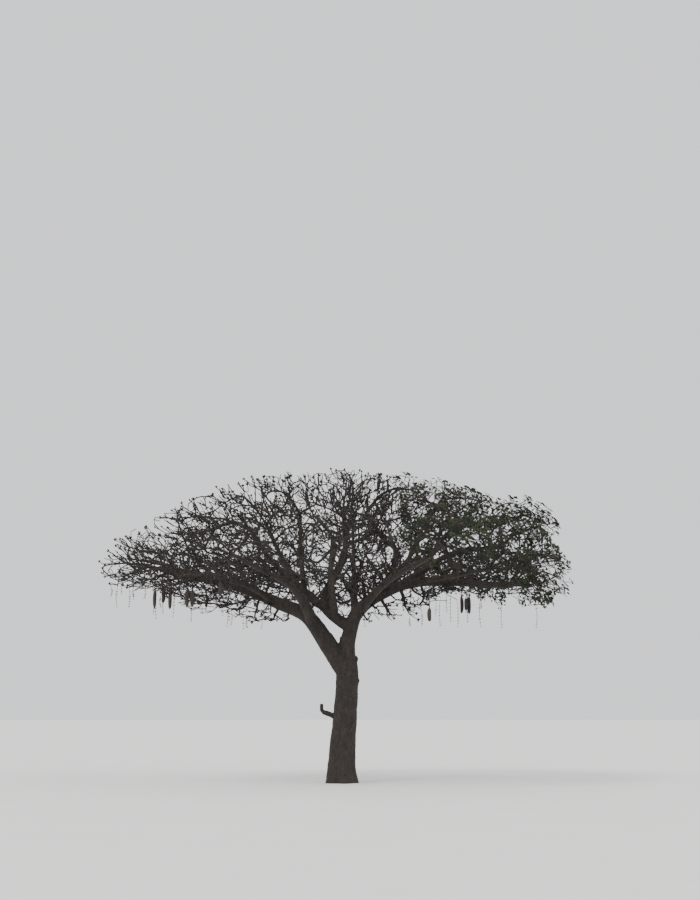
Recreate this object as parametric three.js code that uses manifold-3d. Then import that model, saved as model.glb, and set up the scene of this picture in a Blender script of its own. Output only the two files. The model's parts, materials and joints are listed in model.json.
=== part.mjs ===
// A sausage tree of the dry savanna, in millimetres: X to the right, Y to the back, Z up, ground at zero.
// Every limb is one tapering tube, and every mass of twigs grows by the same seeded rule in its own space.
import * as THREE from "three";
import { mergeVertices } from "three/addons/utils/BufferGeometryUtils.js";
import Module from "manifold-3d";

const GAP = 0.3; // between two pieces that touch
const BARK = { color: 0x3b2d26, roughness: 0.95, metalness: 0 };
const TWIG_BARK = { color: 0x44362c, roughness: 0.9, metalness: 0 };
const LEAFY = { color: 0x3c4a24, roughness: 0.7, metalness: 0 };

// The trunk
const TRUNK_HEIGHTS = [0, 150, 420, 800, 1300, 1900, 2600, 3250, 3800];
const TRUNK_SIDES = 16;
const LEAN = 175; // how far the trunk's middle line has moved to the right at its neck
const LEAN_FROM = 150;
const LEAN_OVER = 3000;
const FOOT_RADIUS = 405; // without the flare
const NECK_RADIUS = 312;
const NECK_HEIGHT = 3300;
const FLARE = 85; // added to the foot's radius by the roots
const FLARE_HEIGHT = 420;
const FLARE_LOBES = 5;
const LOBE_DEPTH = 0.09;
const TOP_SHARE = 0.85; // how much the stem narrows between the arms of the fork
const FORK_RINGS = 3;
const FORK_SIDES = 10;
const BURL_RADIUS = 85;
const BURLS = [
  [500, -40, 3190],
  [455, 60, 3860],
];

// The two arms of the fork, where the main limbs stand
const FORK = {
  left_arm: { from: [130, 0, 3480], to: [-560, 0, 4540], radii: [300, 285] },
  right_arm: { from: [140, 0, 3480], to: [200, 0, 4560], radii: [300, 245] },
};
const ARM_SHARE = 0.85; // where a main limb starts along its arm, before the arm is cut away from it

// A dead limb that broke off low on the trunk, from inside the trunk to its upturned end
const BROKEN_LIMB = {
  through: [
    [0, 0, 1990],
    [-420, -20, 2150],
    [-610, -30, 2230],
    [-620, -40, 2460],
  ],
  radii: [85, 48],
  sides: 6,
};

// Limbs. Each leaves its parent at a share of the parent's length and passes through the points given, the last
// of which is its tip. Radii are at the root, before the collar, and at the tip.
const LIMBS = [
  limb("left_limb", "left_arm", 1, [285, 85], [
    [-1100, 0, 5230], [-2000, 60, 5640], [-3300, 120, 6160], [-5200, 150, 6600],
  ]),
  limb("right_limb", "right_arm", 1, [245, 95], [
    [500, 0, 5320], [1300, -40, 5940], [2600, -90, 6330], [5000, -150, 6230],
  ]),
  limb("centre_bough", "right_limb", 0.08, [190, 70], [
    [-520, -60, 5510], [-330, -60, 6330], [100, 40, 7150], [90, 100, 8250],
  ]),
  limb("left_crest_bough", "centre_bough", 0.24, [125, 70], [
    [-1500, 120, 6330], [-2230, 100, 6980], [-2750, 40, 7700],
  ]),
  limb("centre_left_bough", "left_crest_bough", 0.3, [98, 60], [[-1300, 60, 7050], [-1350, 40, 8200]]),
  limb("left_rear_bough", "left_limb", 0.5, [108, 62], [[-3500, 1050, 6330], [-4500, 2050, 6600]]),
  limb("left_fore_bough", "left_limb", 0.42, [108, 62], [[-3050, -1150, 6150], [-4400, -2050, 6380]]),
  limb("low_left_bough", "left_limb", 0.34, [55, 32], [[-2780, -190, 5780], [-3330, -250, 5640]]),
  limb("rear_left_bough", "left_limb", 0.1, [155, 70], [[-1450, 1850, 6150], [-2600, 3850, 6850]]),
  limb("rear_left_crest_bough", "rear_left_bough", 0.45, [95, 58], [
    [-1750, 2150, 6900], [-2150, 2350, 7600],
  ]),
  limb("fore_left_bough", "left_limb", 0.15, [155, 70], [[-1500, -1800, 5980], [-2550, -3850, 6450]]),
  limb("fore_left_crest_bough", "fore_left_bough", 0.45, [95, 58], [
    [-1850, -2100, 6900], [-2150, -2350, 7550],
  ]),
  limb("rear_bough", "right_limb", 0.16, [145, 70], [[350, 1750, 6150], [-100, 4200, 6950]]),
  limb("rear_crest_bough", "rear_bough", 0.42, [95, 60], [[420, 2250, 6900], [400, 2600, 7600]]),
  limb("fore_bough", "centre_bough", 0.16, [135, 68], [[-320, -1750, 6300], [-250, -4150, 6850]]),
  limb("fore_crest_bough", "fore_bough", 0.4, [95, 60], [[50, -2200, 6950], [200, -2550, 7600]]),
  limb("right_crest_bough", "right_limb", 0.36, [120, 64], [
    [1800, 60, 7250], [1330, 80, 7780], [1000, 100, 8300],
  ]),
  limb("rear_right_bough", "right_limb", 0.25, [145, 70], [[1600, 1850, 6220], [2500, 3850, 6750]]),
  limb("rear_right_crest_bough", "rear_right_bough", 0.42, [95, 58], [
    [2050, 2150, 6850], [2400, 2250, 7520],
  ]),
  limb("fore_right_bough", "right_limb", 0.2, [145, 70], [[1450, -1800, 6200], [2500, -3850, 6650]]),
  limb("fore_right_crest_bough", "fore_right_bough", 0.42, [95, 58], [
    [2050, -2100, 6800], [2400, -2250, 7500],
  ]),
  limb("right_high_bough", "right_limb", 0.45, [125, 66], [[3450, 120, 7200], [4850, 180, 7480]]),
  limb("right_high_crest_bough", "right_high_bough", 0.3, [80, 52], [[3050, 60, 7400], [3200, 20, 7900]]),
  limb("right_rear_bough", "right_limb", 0.56, [105, 62], [[3750, 1050, 6450], [4350, 1950, 6550]]),
  limb("right_fore_bough", "right_limb", 0.52, [105, 62], [[3550, -1150, 6430], [4300, -2050, 6500]]),
];

const COLLAR = 1.4; // how much a limb swells at its root
const COLLAR_LIMIT = 0.92; // of the parent's radius there
const TAPER = 0.85;
const RING_SPACING = 650;
const LIMB_SIDES = [
  { over: 200, sides: 10 },
  { over: 100, sides: 6 },
  { over: 0, sides: 5 },
];

// Masses. Each is an ellipsoid round the tip of its bough; leaves is the share of its twigs that are in leaf.
const MASSES = [
  mass("left_end_twigs", "left_limb", [-6400, 150, 6900], [1430, 1500, 980], 0),
  mass("left_rear_twigs", "left_rear_bough", [-5450, 2900, 7000], [1600, 1600, 1050], 0),
  mass("left_fore_twigs", "left_fore_bough", [-5450, -2900, 6650], [1600, 1600, 1050], 0),
  mass("left_crest_twigs", "left_crest_bough", [-4150, 0, 8050], [1600, 1600, 1080], 0),
  mass("low_left_twigs", "low_left_bough", [-4200, -250, 5720], [1080, 700, 420], 0),
  mass("rear_left_twigs", "rear_left_bough", [-3300, 4900, 7300], [1650, 1500, 1050], 0),
  mass("rear_left_crest_twigs", "rear_left_crest_bough", [-2500, 2700, 8400], [1550, 1500, 1050], 0),
  mass("fore_left_twigs", "fore_left_bough", [-3300, -4900, 6750], [1650, 1500, 1050], 0),
  mass("fore_left_crest_twigs", "fore_left_crest_bough", [-2550, -2700, 8300], [1550, 1500, 1050], 0),
  mass("centre_left_twigs", "centre_left_bough", [-1550, 0, 8950], [1500, 1500, 1000], 0),
  mass("centre_twigs", "centre_bough", [150, 100, 9050], [1300, 1500, 970], 0),
  mass("rear_twigs", "rear_bough", [-100, 5200, 7400], [1650, 1400, 1050], 0),
  mass("rear_crest_twigs", "rear_crest_bough", [350, 2950, 8450], [1650, 1500, 1100], 0),
  mass("fore_twigs", "fore_bough", [-200, -5150, 7250], [1650, 1400, 1050], 0),
  mass("fore_crest_twigs", "fore_crest_bough", [250, -2950, 8400], [1650, 1500, 1100], 0),
  mass("right_crest_twigs", "right_crest_bough", [1750, 100, 8900], [1450, 1500, 1000], 0.4),
  mass("rear_right_foliage", "rear_right_bough", [3150, 4800, 7200], [1650, 1500, 1050], 0.8),
  mass("rear_right_crest_foliage", "rear_right_crest_bough", [2900, 2600, 8250], [1550, 1500, 1050], 0.7),
  mass("fore_right_foliage", "fore_right_bough", [3150, -4800, 7100], [1650, 1500, 1050], 0.8),
  mass("fore_right_crest_foliage", "fore_right_crest_bough", [2950, -2600, 8150], [1550, 1500, 1050], 0.7),
  mass("right_high_foliage", "right_high_bough", [5450, 200, 8120], [1550, 1500, 1040], 1),
  mass("right_high_crest_foliage", "right_high_crest_bough", [3700, 0, 8480], [1450, 1500, 950], 0.8),
  mass("right_rear_foliage", "right_rear_bough", [5200, 2800, 6900], [1600, 1500, 1150], 1),
  mass("right_fore_foliage", "right_fore_bough", [5150, -2850, 6850], [1600, 1500, 1150], 1),
  mass("right_end_foliage", "right_limb", [6080, -100, 6550], [1350, 1500, 1120], 1),
];

// Fruit that show from a step away: the mass, the point that each hangs from, its stalk and its own length.
const FRUIT = [
  fruit("left_end_twigs", [-5980, -300, 6420], 360, 590),
  fruit("left_end_twigs", [-5790, 250, 6400], 310, 420),
  fruit("left_end_twigs", [-5530, 0, 6400], 350, 590),
  fruit("left_fore_twigs", [-4660, -2700, 6250], 380, 540),
  fruit("left_fore_twigs", [-4480, -2950, 6300], 460, 520),
  fruit("fore_left_twigs", [-3520, -4300, 6450], 480, 440),
  fruit("right_rear_foliage", [4080, 2600, 6250], 150, 600),
  fruit("right_rear_foliage", [4220, 2450, 6200], 190, 420),
  fruit("right_rear_foliage", [4340, 2600, 6250], 160, 610),
  fruit("fore_right_foliage", [2600, -4300, 6250], 1060, 400),
];

// The rule of growth
const FIRST_SEED = 101; // of the first mass; each next mass has the next number
const CROWN_HEART = point([0, 0, 6600]); // every mass reaches furthest away from here
const STEP = 600; // length of one twig
const STEM_SHARE = 0.6; // of a step, for the stem that every mass starts with
const RIM_GOALS = 13; // spread evenly over the skin of the mass, so that its twigs reach its outline
const INNER_GOALS = 2;
const INNER_SPREAD = 1.1; // of the mass's own reach
const RIM_INSET = 40; // from the skin to the goals near it
const LEAFY_INSET = 378; // the same where sprays of leaves stand beyond the goals
const EDGE = 0.11; // the neighbour's share of each border, in radii of the mass
const LIMB_CLEARANCE = 90; // between a twig's line and the bark of any limb
const UPWARD = 0.16; // how much twigs turn up
const OUTWARD = 0.35; // how much they turn away from the crown's heart
const ONWARD = 0.4; // how much a twig keeps its parent's direction
const WANDER = 0.1; // sideways, as a share of a step
const TURN_BACK = -0.5; // cosine of the sharpest turn that a last twig takes
const TWIG_CLEARANCE = 110; // between two twigs that don't share a joint
const TIP_RADIUS = 13;
const THICK_TWIG = 35; // radius above which a twig has five sides in place of three
const FLOW_POWER = 0.5; // how fast a twig thickens with the tips that it carries

// Leaves and fruit
const SPRAY = { length: 420, width: 250, thickness: 40, widestAt: 0.45, tip: 3 };
const FRUIT_RADIUS = 62;
const FRUIT_SIDES = 6;
const FRUIT_PROFILE = [
  [0, 0],
  [0.8, 0.08],
  [1, 0.4],
  [0.75, 0.9],
  [0, 1],
]; // share of the radius, and of the length from its lower end
const STALK_RADIUS = 12;
const STALK_SUNK = 40; // into the fruit

function limb(name, parent, share, radii, through) {
  return { name, parent, share, radii, through };
}

function mass(name, bough, centre, reach, leaves) {
  return { name, bough, centre: point(centre), reach: point(reach), leaves };
}

function fruit(massName, from, stalk, length) {
  return { mass: massName, from: point(from), stalk, length };
}

function point([x, y, z]) {
  return new THREE.Vector3(x, y, z);
}

const wasm = await Module();
wasm.setup();

// A closed geometry as a solid to join and cut
function solidOf(geometry) {
  const bare = geometry.clone();
  bare.deleteAttribute("normal");
  bare.deleteAttribute("uv");
  const merged = mergeVertices(bare, 1e-3);
  const mesh = { numProp: 3, vertProperties: merged.attributes.position.array, triVerts: merged.index.array };
  return new wasm.Manifold(new wasm.Mesh({ ...mesh, triVerts: new Uint32Array(mesh.triVerts) }));
}

// A solid back as a geometry
function geometryOf(solid) {
  const mesh = solid.getMesh();
  return new THREE.BufferGeometry()
    .setAttribute("position", new THREE.BufferAttribute(mesh.vertProperties, 3))
    .setIndex(new THREE.BufferAttribute(mesh.triVerts, 1));
}

function largestPart(solid) {
  return solid.decompose().reduce((best, part) => (part.volume() > best.volume() ? part : best));
}

// The direction of a line at each of its points, and two directions square to it that turn as little as they can
function framesAlong(points, turn) {
  const frames = [];
  let across = new THREE.Vector3(0, 1, 0);
  points.forEach((at, i) => {
    const before = points[Math.max(i - 1, 0)];
    const after = points[Math.min(i + 1, points.length - 1)];
    const along = after.clone().sub(before).normalize();
    if (i === 0 && Math.abs(along.y) > 0.9) across = new THREE.Vector3(1, 0, 0);
    across = across.clone().addScaledVector(along, -across.dot(along)).normalize();
    const turned = across.clone().applyAxisAngle(along, turn);
    frames.push({ along, across: turned, beside: along.clone().cross(turned) });
  });
  return frames;
}

// A closed cylinder wrapped round a line of points: ring i has the two half sizes that sizeAt(i, angle) gives
function tubeThrough(points, sizeAt, sides, turn = 0) {
  const rings = points.length - 1;
  const geometry = new THREE.CylinderGeometry(1, 1, rings, sides, rings);
  const frames = framesAlong(points, turn);
  const position = geometry.attributes.position;
  const corner = new THREE.Vector3();
  for (let i = 0; i < position.count; i++) {
    corner.fromBufferAttribute(position, i);
    const ring = Math.round(corner.y + rings / 2);
    const [width, depth] = sizeAt(ring, Math.atan2(corner.z, corner.x));
    const placed = points[ring]
      .clone()
      .addScaledVector(frames[ring].across, corner.x * width)
      .addScaledVector(frames[ring].beside, -corner.z * depth);
    position.setXYZ(i, placed.x, placed.y, placed.z);
  }
  return geometry;
}

function roundTube(points, thickness, sides) {
  return tubeThrough(points, (ring) => [thickness[ring], thickness[ring]], sides);
}

// The trunk: a leaning stem with a lobed root flare, the two arms of its fork, and its burls
function trunkSolid(grown) {
  const middle = TRUNK_HEIGHTS.map((z) => {
    const lean = LEAN * THREE.MathUtils.smoothstep(z, LEAN_FROM, LEAN_FROM + LEAN_OVER);
    return new THREE.Vector3(lean, 0, z);
  });
  const sizeAt = (ring, angle) => {
    const z = TRUNK_HEIGHTS[ring];
    const swell = Math.exp(-z / FLARE_HEIGHT);
    const lobes = 1 + LOBE_DEPTH * swell * Math.cos(FLARE_LOBES * angle);
    const taper = THREE.MathUtils.lerp(FOOT_RADIUS, NECK_RADIUS, Math.min(z / NECK_HEIGHT, 1));
    const top = ring === TRUNK_HEIGHTS.length - 1 ? TOP_SHARE : 1;
    const radius = (taper * top + FLARE * swell) * lobes + grown;
    return [radius, radius];
  };
  const stem = solidOf(tubeThrough(middle, sizeAt, TRUNK_SIDES));
  const arms = Object.values(FORK).map(({ from, to, radii }) => {
    const onward = point(to).sub(point(from)).normalize();
    const end = point(to).addScaledVector(onward, grown);
    const line = new THREE.LineCurve3(point(from), end).getPoints(FORK_RINGS);
    const thickness = line.map((at, ring) => THREE.MathUtils.lerp(...radii, ring / FORK_RINGS) + grown);
    return solidOf(roundTube(line, thickness, FORK_SIDES));
  });
  const burls = BURLS.map(([x, y, z]) =>
    solidOf(new THREE.IcosahedronGeometry(BURL_RADIUS + grown, 1).scale(1, 1, 1.3).translate(x, y, z)),
  );
  return wasm.Manifold.union([stem, ...arms, ...burls]);
}

// Where every limb runs, from its parent outwards
function routesOf(limbs) {
  const routes = new Map();
  for (const row of limbs) {
    const start = startOf(row, routes);
    const curve = new THREE.CatmullRomCurve3([start, ...row.through.map(point)], false, "catmullrom", 0.5);
    routes.set(row.name, curve);
  }
  return routes;
}

function startOf({ parent, share }, routes) {
  const arm = FORK[parent];
  return arm ? point(arm.from).lerp(point(arm.to), ARM_SHARE) : routes.get(parent).getPointAt(share);
}

// A limb's line as points, and the radius at each: a swollen collar at the root, narrower than what it grows
// on, then an even taper
function limbRings({ parent, share, radii }, curve, parentRings) {
  const rings = Math.max(3, Math.ceil(curve.getLength() / RING_SPACING));
  const points = curve.getSpacedPoints(rings);
  const widest = FORK[parent] ? radii[0] : COLLAR_LIMIT * radiusAlong(parentRings, share);
  const collar = Math.min(COLLAR, widest / radii[0]);
  const thickness = points.map((at, i) => {
    const u = i / rings;
    const swell = 1 + (collar - 1) * Math.exp((-u * curve.getLength()) / (2 * radii[0]));
    return THREE.MathUtils.lerp(...radii, u ** TAPER) * swell;
  });
  const sides = LIMB_SIDES.find(({ over }) => radii[0] > over).sides;
  return { points, thickness, sides };
}

function radiusAlong({ thickness }, share) {
  const at = share * (thickness.length - 1);
  const before = Math.floor(at);
  return THREE.MathUtils.lerp(thickness[before], thickness[before + 1], at - before);
}

function limbSolid({ points, thickness, sides }, grown) {
  return solidOf(roundTube(points, thickness.map((radius) => radius + grown), sides));
}

// How deep a point lies in a mass: zero at its centre and one at its skin
function depthIn({ centre, reach }, at) {
  return Math.hypot((at.x - centre.x) / reach.x, (at.y - centre.y) / reach.y, (at.z - centre.z) / reach.z);
}

// A mass owns what lies in its ellipsoid and deeper in it than in any neighbour's
function owns(owner, at) {
  const own = depthIn(owner, at);
  return own < 1 && MASSES.every((other) => other === owner || depthIn(other, at) > own + EDGE);
}

function clearOfLimbs(at, limbLines) {
  return limbLines.every(({ points, thickness }) =>
    points.every((end, i) => {
      if (i === 0) return true;
      const nearest = new THREE.Line3(points[i - 1], end).closestPointToPoint(at, true, new THREE.Vector3());
      return nearest.distanceTo(at) > thickness[i - 1] + LIMB_CLEARANCE;
    }),
  );
}

// A repeatable row of numbers from zero to one
function seeded(seed) {
  let state = seed;
  return () => {
    state = (state + 0x6d2b79f5) | 0;
    let mixed = Math.imul(state ^ (state >>> 15), 1 | state);
    mixed = (mixed + Math.imul(mixed ^ (mixed >>> 7), 61 | mixed)) ^ mixed;
    return ((mixed ^ (mixed >>> 14)) >>> 0) / 4294967296;
  };
}

// A random point in a cube of side one round zero
function scatter(random) {
  return new THREE.Vector3(random() - 0.5, random() - 0.5, random() - 0.5);
}

// Points for the twigs to reach: some spread evenly near the skin, from its outermost point inwards, some
// inside, and one for each fruit
function goalsOf(owner, random, fits) {
  const goals = FRUIT.filter((row) => row.mass === owner.name).map((row) => row.from.clone());
  const golden = Math.PI * (3 - Math.sqrt(5));
  const up = new THREE.Vector3(0, 0, 1);
  const outward = owner.centre.clone().sub(CROWN_HEART).normalize();
  const facing = new THREE.Quaternion().setFromUnitVectors(up, outward);
  for (let i = 0; i < RIM_GOALS + INNER_GOALS; i++) {
    const z = 1 - (2 * i) / (RIM_GOALS - 1);
    const ring = Math.sqrt(Math.max(0, 1 - z * z));
    const onRim = new THREE.Vector3(ring * Math.cos(golden * i), ring * Math.sin(golden * i), z);
    onRim.applyQuaternion(facing);
    const inside = scatter(random).multiplyScalar(INNER_SPREAD);
    const inset = owner.leaves ? LEAFY_INSET : RIM_INSET;
    const rimReach = owner.reach.clone().subScalar(inset);
    const share = i < RIM_GOALS ? onRim.multiply(rimReach) : inside.multiply(owner.reach);
    const goal = share.add(owner.centre);
    if (fits(goal)) goals.push(goal);
  }
  return goals;
}

// A new twig from a joint keeps its distance from all twigs that don't meet it there
function clearOfTwigs(joints, from, end) {
  const twig = new THREE.Line3(joints[from].at, end);
  return joints.every(({ at, parent }, i) => {
    if (parent < 0 || i === from || parent === from) return end.distanceTo(at) > TWIG_CLEARANCE;
    return twig.distanceSqToLine3(new THREE.Line3(joints[parent].at, at)) > TWIG_CLEARANCE ** 2;
  });
}

// The joint nearest to a goal, leaving out the tips that have reached a goal of their own
function nearestJoint(joints, at) {
  const distanceOf = (joint) => joint.at.distanceTo(at);
  let best = 1;
  joints.forEach((joint, i) => {
    if (i > 1 && !joint.ended && distanceOf(joint) < distanceOf(joints[best])) best = i;
  });
  return best;
}

// Twigs grow by turns from one stem. Each goal pulls the joint nearest to it, and a joint grows one step towards
// the mean of its pulls. A goal within a step gets the last twig, unless that would turn back. A step that
// leaves the space or touches a limb is skipped.
function growTwigs(root, heading, goals, random, fits) {
  const stem = root.clone().addScaledVector(heading, STEP * STEM_SHARE);
  const joints = [
    { at: root, parent: -1 },
    { at: stem, parent: 0 },
  ];
  let open = goals;
  while (open.length) {
    const pulls = new Map();
    for (const goal of open) {
      const nearest = nearestJoint(joints, goal);
      pulls.set(nearest, [...(pulls.get(nearest) ?? []), goal]);
    }
    open = [];
    for (const [from, pulling] of pulls) open.push(...growFrom(joints, from, pulling, random, fits));
  }
  return joints;
}

// One turn of one joint. Gives back the goals that are still to be reached
function growFrom(joints, from, pulling, random, fits) {
  const { at, parent } = joints[from];
  const onward = at.clone().sub(joints[parent].at).normalize();
  const byDistance = [...pulling].sort((a, b) => a.distanceToSquared(at) - b.distanceToSquared(at));
  const [nearest, ...others] = byDistance;
  const hasRoom = (end) => fits(end) && fits(end.clone().lerp(at, 0.5)) && clearOfTwigs(joints, from, end);
  const toNearest = nearest.clone().sub(at).normalize();
  if (nearest.distanceTo(at) <= STEP) {
    const ahead = toNearest.dot(onward) >= TURN_BACK;
    if (ahead && hasRoom(nearest)) joints.push({ at: nearest, parent: from, ended: true });
    return others;
  }
  const outward = at.clone().sub(CROWN_HEART).setLength(OUTWARD);
  const mean = new THREE.Vector3();
  for (const goal of pulling) mean.add(goal.clone().sub(at).normalize());
  for (const direction of [mean.normalize(), toNearest]) {
    direction.addScaledVector(onward, ONWARD).add(new THREE.Vector3(0, 0, UPWARD)).add(outward);
    direction.addScaledVector(scatter(random), 2 * WANDER);
    const next = at.clone().addScaledVector(direction.normalize(), STEP);
    if (hasRoom(next)) {
      joints.push({ at: next, parent: from });
      return pulling;
    }
  }
  return others;
}

// Each twig runs on through the child that carries the most tips, and its other children start their own twigs
function chainsOf(joints, stemRadius) {
  const flow = joints.map(() => 0);
  const children = joints.map(() => []);
  for (let i = joints.length - 1; i > 0; i--) {
    if (!children[i].length) flow[i] = 1;
    flow[joints[i].parent] += flow[i];
    children[joints[i].parent].unshift(i);
  }
  const radiusOf = (i) => Math.max(TIP_RADIUS, stemRadius * (flow[i] / flow[0]) ** FLOW_POWER);
  const chains = [];
  const starts = [[0, children[0][0]]];
  while (starts.length) {
    const chain = starts.pop();
    for (let on = chain[1]; children[on].length; on = chain.at(-1)) {
      const [main, ...side] = [...children[on]].sort((a, b) => flow[b] - flow[a]);
      side.forEach((child) => starts.push([on, child]));
      chain.push(main);
    }
    const thickness = chain.map((i) => radiusOf(i));
    if (chain[0] !== 0) thickness[0] = thickness[1];
    chains.push({ points: chain.map((i) => joints[i].at), thickness });
  }
  return chains;
}

// A twig. In leaf, it ends in a spray of leaves, one thin pointed blade that widens from its tip
function twigGeometry({ points, thickness }, inLeaf, turn) {
  const along = points.at(-1).clone().sub(points.at(-2)).normalize();
  const onward = (share) => points.at(-1).clone().addScaledVector(along, share * SPRAY.length);
  const sizes = thickness.map((radius) => [radius, radius]);
  if (inLeaf) sizes.push([SPRAY.width / 2, SPRAY.thickness / 2], [SPRAY.tip, SPRAY.tip]);
  const blade = inLeaf ? [onward(SPRAY.widestAt), onward(1)] : [];
  const sides = thickness[0] > THICK_TWIG ? 5 : 3;
  return tubeThrough([...points, ...blade], (ring) => sizes[ring], sides, turn);
}

// A fruit on its stalk: a blunt six-sided sausage that hangs straight down
function fruitSolids({ from, stalk, length }) {
  const top = from.z - stalk;
  const outline = FRUIT_PROFILE.map(([r, share]) => new THREE.Vector2(r * FRUIT_RADIUS, share * length));
  const body = new THREE.LatheGeometry(outline, FRUIT_SIDES).rotateX(Math.PI / 2);
  body.translate(from.x, from.y, top - length);
  const line = [from, new THREE.Vector3(from.x, from.y, top - STALK_SUNK)];
  return [solidOf(body), solidOf(roundTube(line, [STALK_RADIUS, STALK_RADIUS], 3))];
}

// One mass as one solid: its twigs, then its sprays and fruit
function massSolid(owner, seed, limbLines, bough) {
  const random = seeded(seed);
  const fits = (at) => owns(owner, at) && clearOfLimbs(at, limbLines);
  const { points, thickness } = bough;
  const heading = points.at(-1).clone().sub(points.at(-2)).normalize();
  const root = points.at(-1).clone().addScaledVector(heading, GAP);
  const joints = growTwigs(root, heading, goalsOf(owner, random, fits), random, fits);
  const chains = chainsOf(joints, thickness.at(-1));
  const pieces = chains.map((chain) => {
    const [before, tip] = chain.points.slice(-2);
    const end = tip.clone().addScaledVector(tip.clone().sub(before).normalize(), SPRAY.length);
    const inLeaf = random() < owner.leaves && fits(end);
    return solidOf(twigGeometry(chain, inLeaf, inLeaf ? random() * Math.PI : 0));
  });
  const reached = (row) => joints.some((joint) => joint.at.distanceTo(row.from) < 1);
  for (const row of FRUIT) if (row.mass === owner.name && reached(row)) pieces.push(...fruitSolids(row));
  return wasm.Manifold.union(pieces);
}

function named(name, solid, look) {
  const mesh = new THREE.Mesh(geometryOf(solid), new THREE.MeshStandardMaterial(look));
  mesh.name = name;
  return mesh;
}

const tree = new THREE.Group();
const routes = routesOf(LIMBS);
const lines = new Map();
for (const row of LIMBS) lines.set(row.name, limbRings(row, routes.get(row.name), lines.get(row.parent)));

// Limbs are cut clear of everything that was made before them
const cutters = [trunkSolid(GAP)];
tree.add(named("trunk", trunkSolid(0), BARK));
for (const row of LIMBS) {
  const rings = lines.get(row.name);
  const cut = cutters.reduce((left, cutter) => left.subtract(cutter), limbSolid(rings, 0));
  tree.add(named(row.name, largestPart(cut), BARK));
  cutters.push(limbSolid(rings, GAP));
}

const { through, radii, sides } = BROKEN_LIMB;
const thickness = through.map((at, i) => THREE.MathUtils.lerp(...radii, i / (through.length - 1)));
const brokenSolid = limbSolid({ points: through.map(point), thickness, sides }, 0).subtract(cutters[0]);
tree.add(named("broken_limb", largestPart(brokenSolid), BARK));

MASSES.forEach((owner, i) => {
  const solid = massSolid(owner, FIRST_SEED + i, [...lines.values()], lines.get(owner.bough));
  tree.add(named(owner.name, solid, owner.leaves ? LEAFY : TWIG_BARK));
});

export default tree;
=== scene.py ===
"""A sausage tree in the dry season: bark, twigs grown on from the limbs, young leaves and hanging fruit."""
import functools
import json
import math
from collections import namedtuple

import bmesh
import bpy
import numpy as np
from bpy.props import FloatProperty, FloatVectorProperty, IntProperty, PointerProperty
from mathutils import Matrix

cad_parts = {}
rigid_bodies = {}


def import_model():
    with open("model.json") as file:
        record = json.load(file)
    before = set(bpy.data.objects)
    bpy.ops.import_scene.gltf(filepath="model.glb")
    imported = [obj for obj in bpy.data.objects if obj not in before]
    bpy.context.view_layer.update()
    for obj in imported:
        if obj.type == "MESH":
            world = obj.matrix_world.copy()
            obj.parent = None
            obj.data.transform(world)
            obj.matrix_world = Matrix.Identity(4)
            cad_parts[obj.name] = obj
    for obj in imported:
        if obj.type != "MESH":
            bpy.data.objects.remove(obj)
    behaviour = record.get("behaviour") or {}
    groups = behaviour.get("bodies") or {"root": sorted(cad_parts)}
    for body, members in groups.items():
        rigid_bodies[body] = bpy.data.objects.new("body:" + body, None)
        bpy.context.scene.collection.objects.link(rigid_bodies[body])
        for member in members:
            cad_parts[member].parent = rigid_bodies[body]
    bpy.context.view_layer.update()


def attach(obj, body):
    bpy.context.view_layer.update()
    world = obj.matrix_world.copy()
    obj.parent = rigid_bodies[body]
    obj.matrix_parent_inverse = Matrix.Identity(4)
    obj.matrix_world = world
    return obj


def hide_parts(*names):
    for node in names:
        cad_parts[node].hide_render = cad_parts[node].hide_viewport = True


bl_info = {
    "name": "Sausage tree",
    "version": (1, 0, 0),
    "blender": (4, 5, 0),
    "location": "3D View > Sidebar > Tree",
    "description": "Grows a savanna sausage tree from its limbs, with bark, twigs, young leaves and fruit",
    "category": "Object",
}

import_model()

# The trunk in metres: X to the right, Y to the back, Z up, the ground at zero. Its bark lies on the wood.
TRUNK_TOP = 3.8
TRUNK_SIDES = 64
TRUNK_STEP = 0.08
BURIED = 0.2
BARK = 0.03
FOOT_RADIUS = 0.405
NECK_RADIUS = 0.312
NECK_HEIGHT = 3.3
LEAN = 0.175
LEAN_FROM = 0.15
LEAN_OVER = 3.0
FLARE = 0.085
FLARE_HEIGHT = 0.42
FLARE_LOBES = 5
LOBE_DEPTH = 0.09
SHOULDER = 0.045
SHOULDER_HEIGHT = 3.45
SHOULDER_SPREAD = 0.6
NARROWING = 0.15
NARROWING_FROM = 3.25
NARROWING_OVER = 0.55
BURL_RADIUS = 0.085
BURL_SCALE = (1, 1, 1.3)
BURLS = [(0.5, -0.04, 3.19), (0.455, 0.06, 3.86)]

# Each arm of the fork: its start, its end and its radii there
FORK = {
    "left_arm": ((0.13, 0, 3.48), (-0.56, 0, 4.54), (0.3, 0.285)),
    "right_arm": ((0.14, 0, 3.48), (0.2, 0, 4.56), (0.3, 0.245)),
}
ARM_SHARE = 0.85
BROKEN_LIMB = [(0, 0, 1.99), (-0.42, -0.02, 2.15), (-0.61, -0.03, 2.23), (-0.62, -0.04, 2.46)]
BROKEN_RADII = (0.085, 0.048)
BROKEN_SWELL = 1.15

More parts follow.
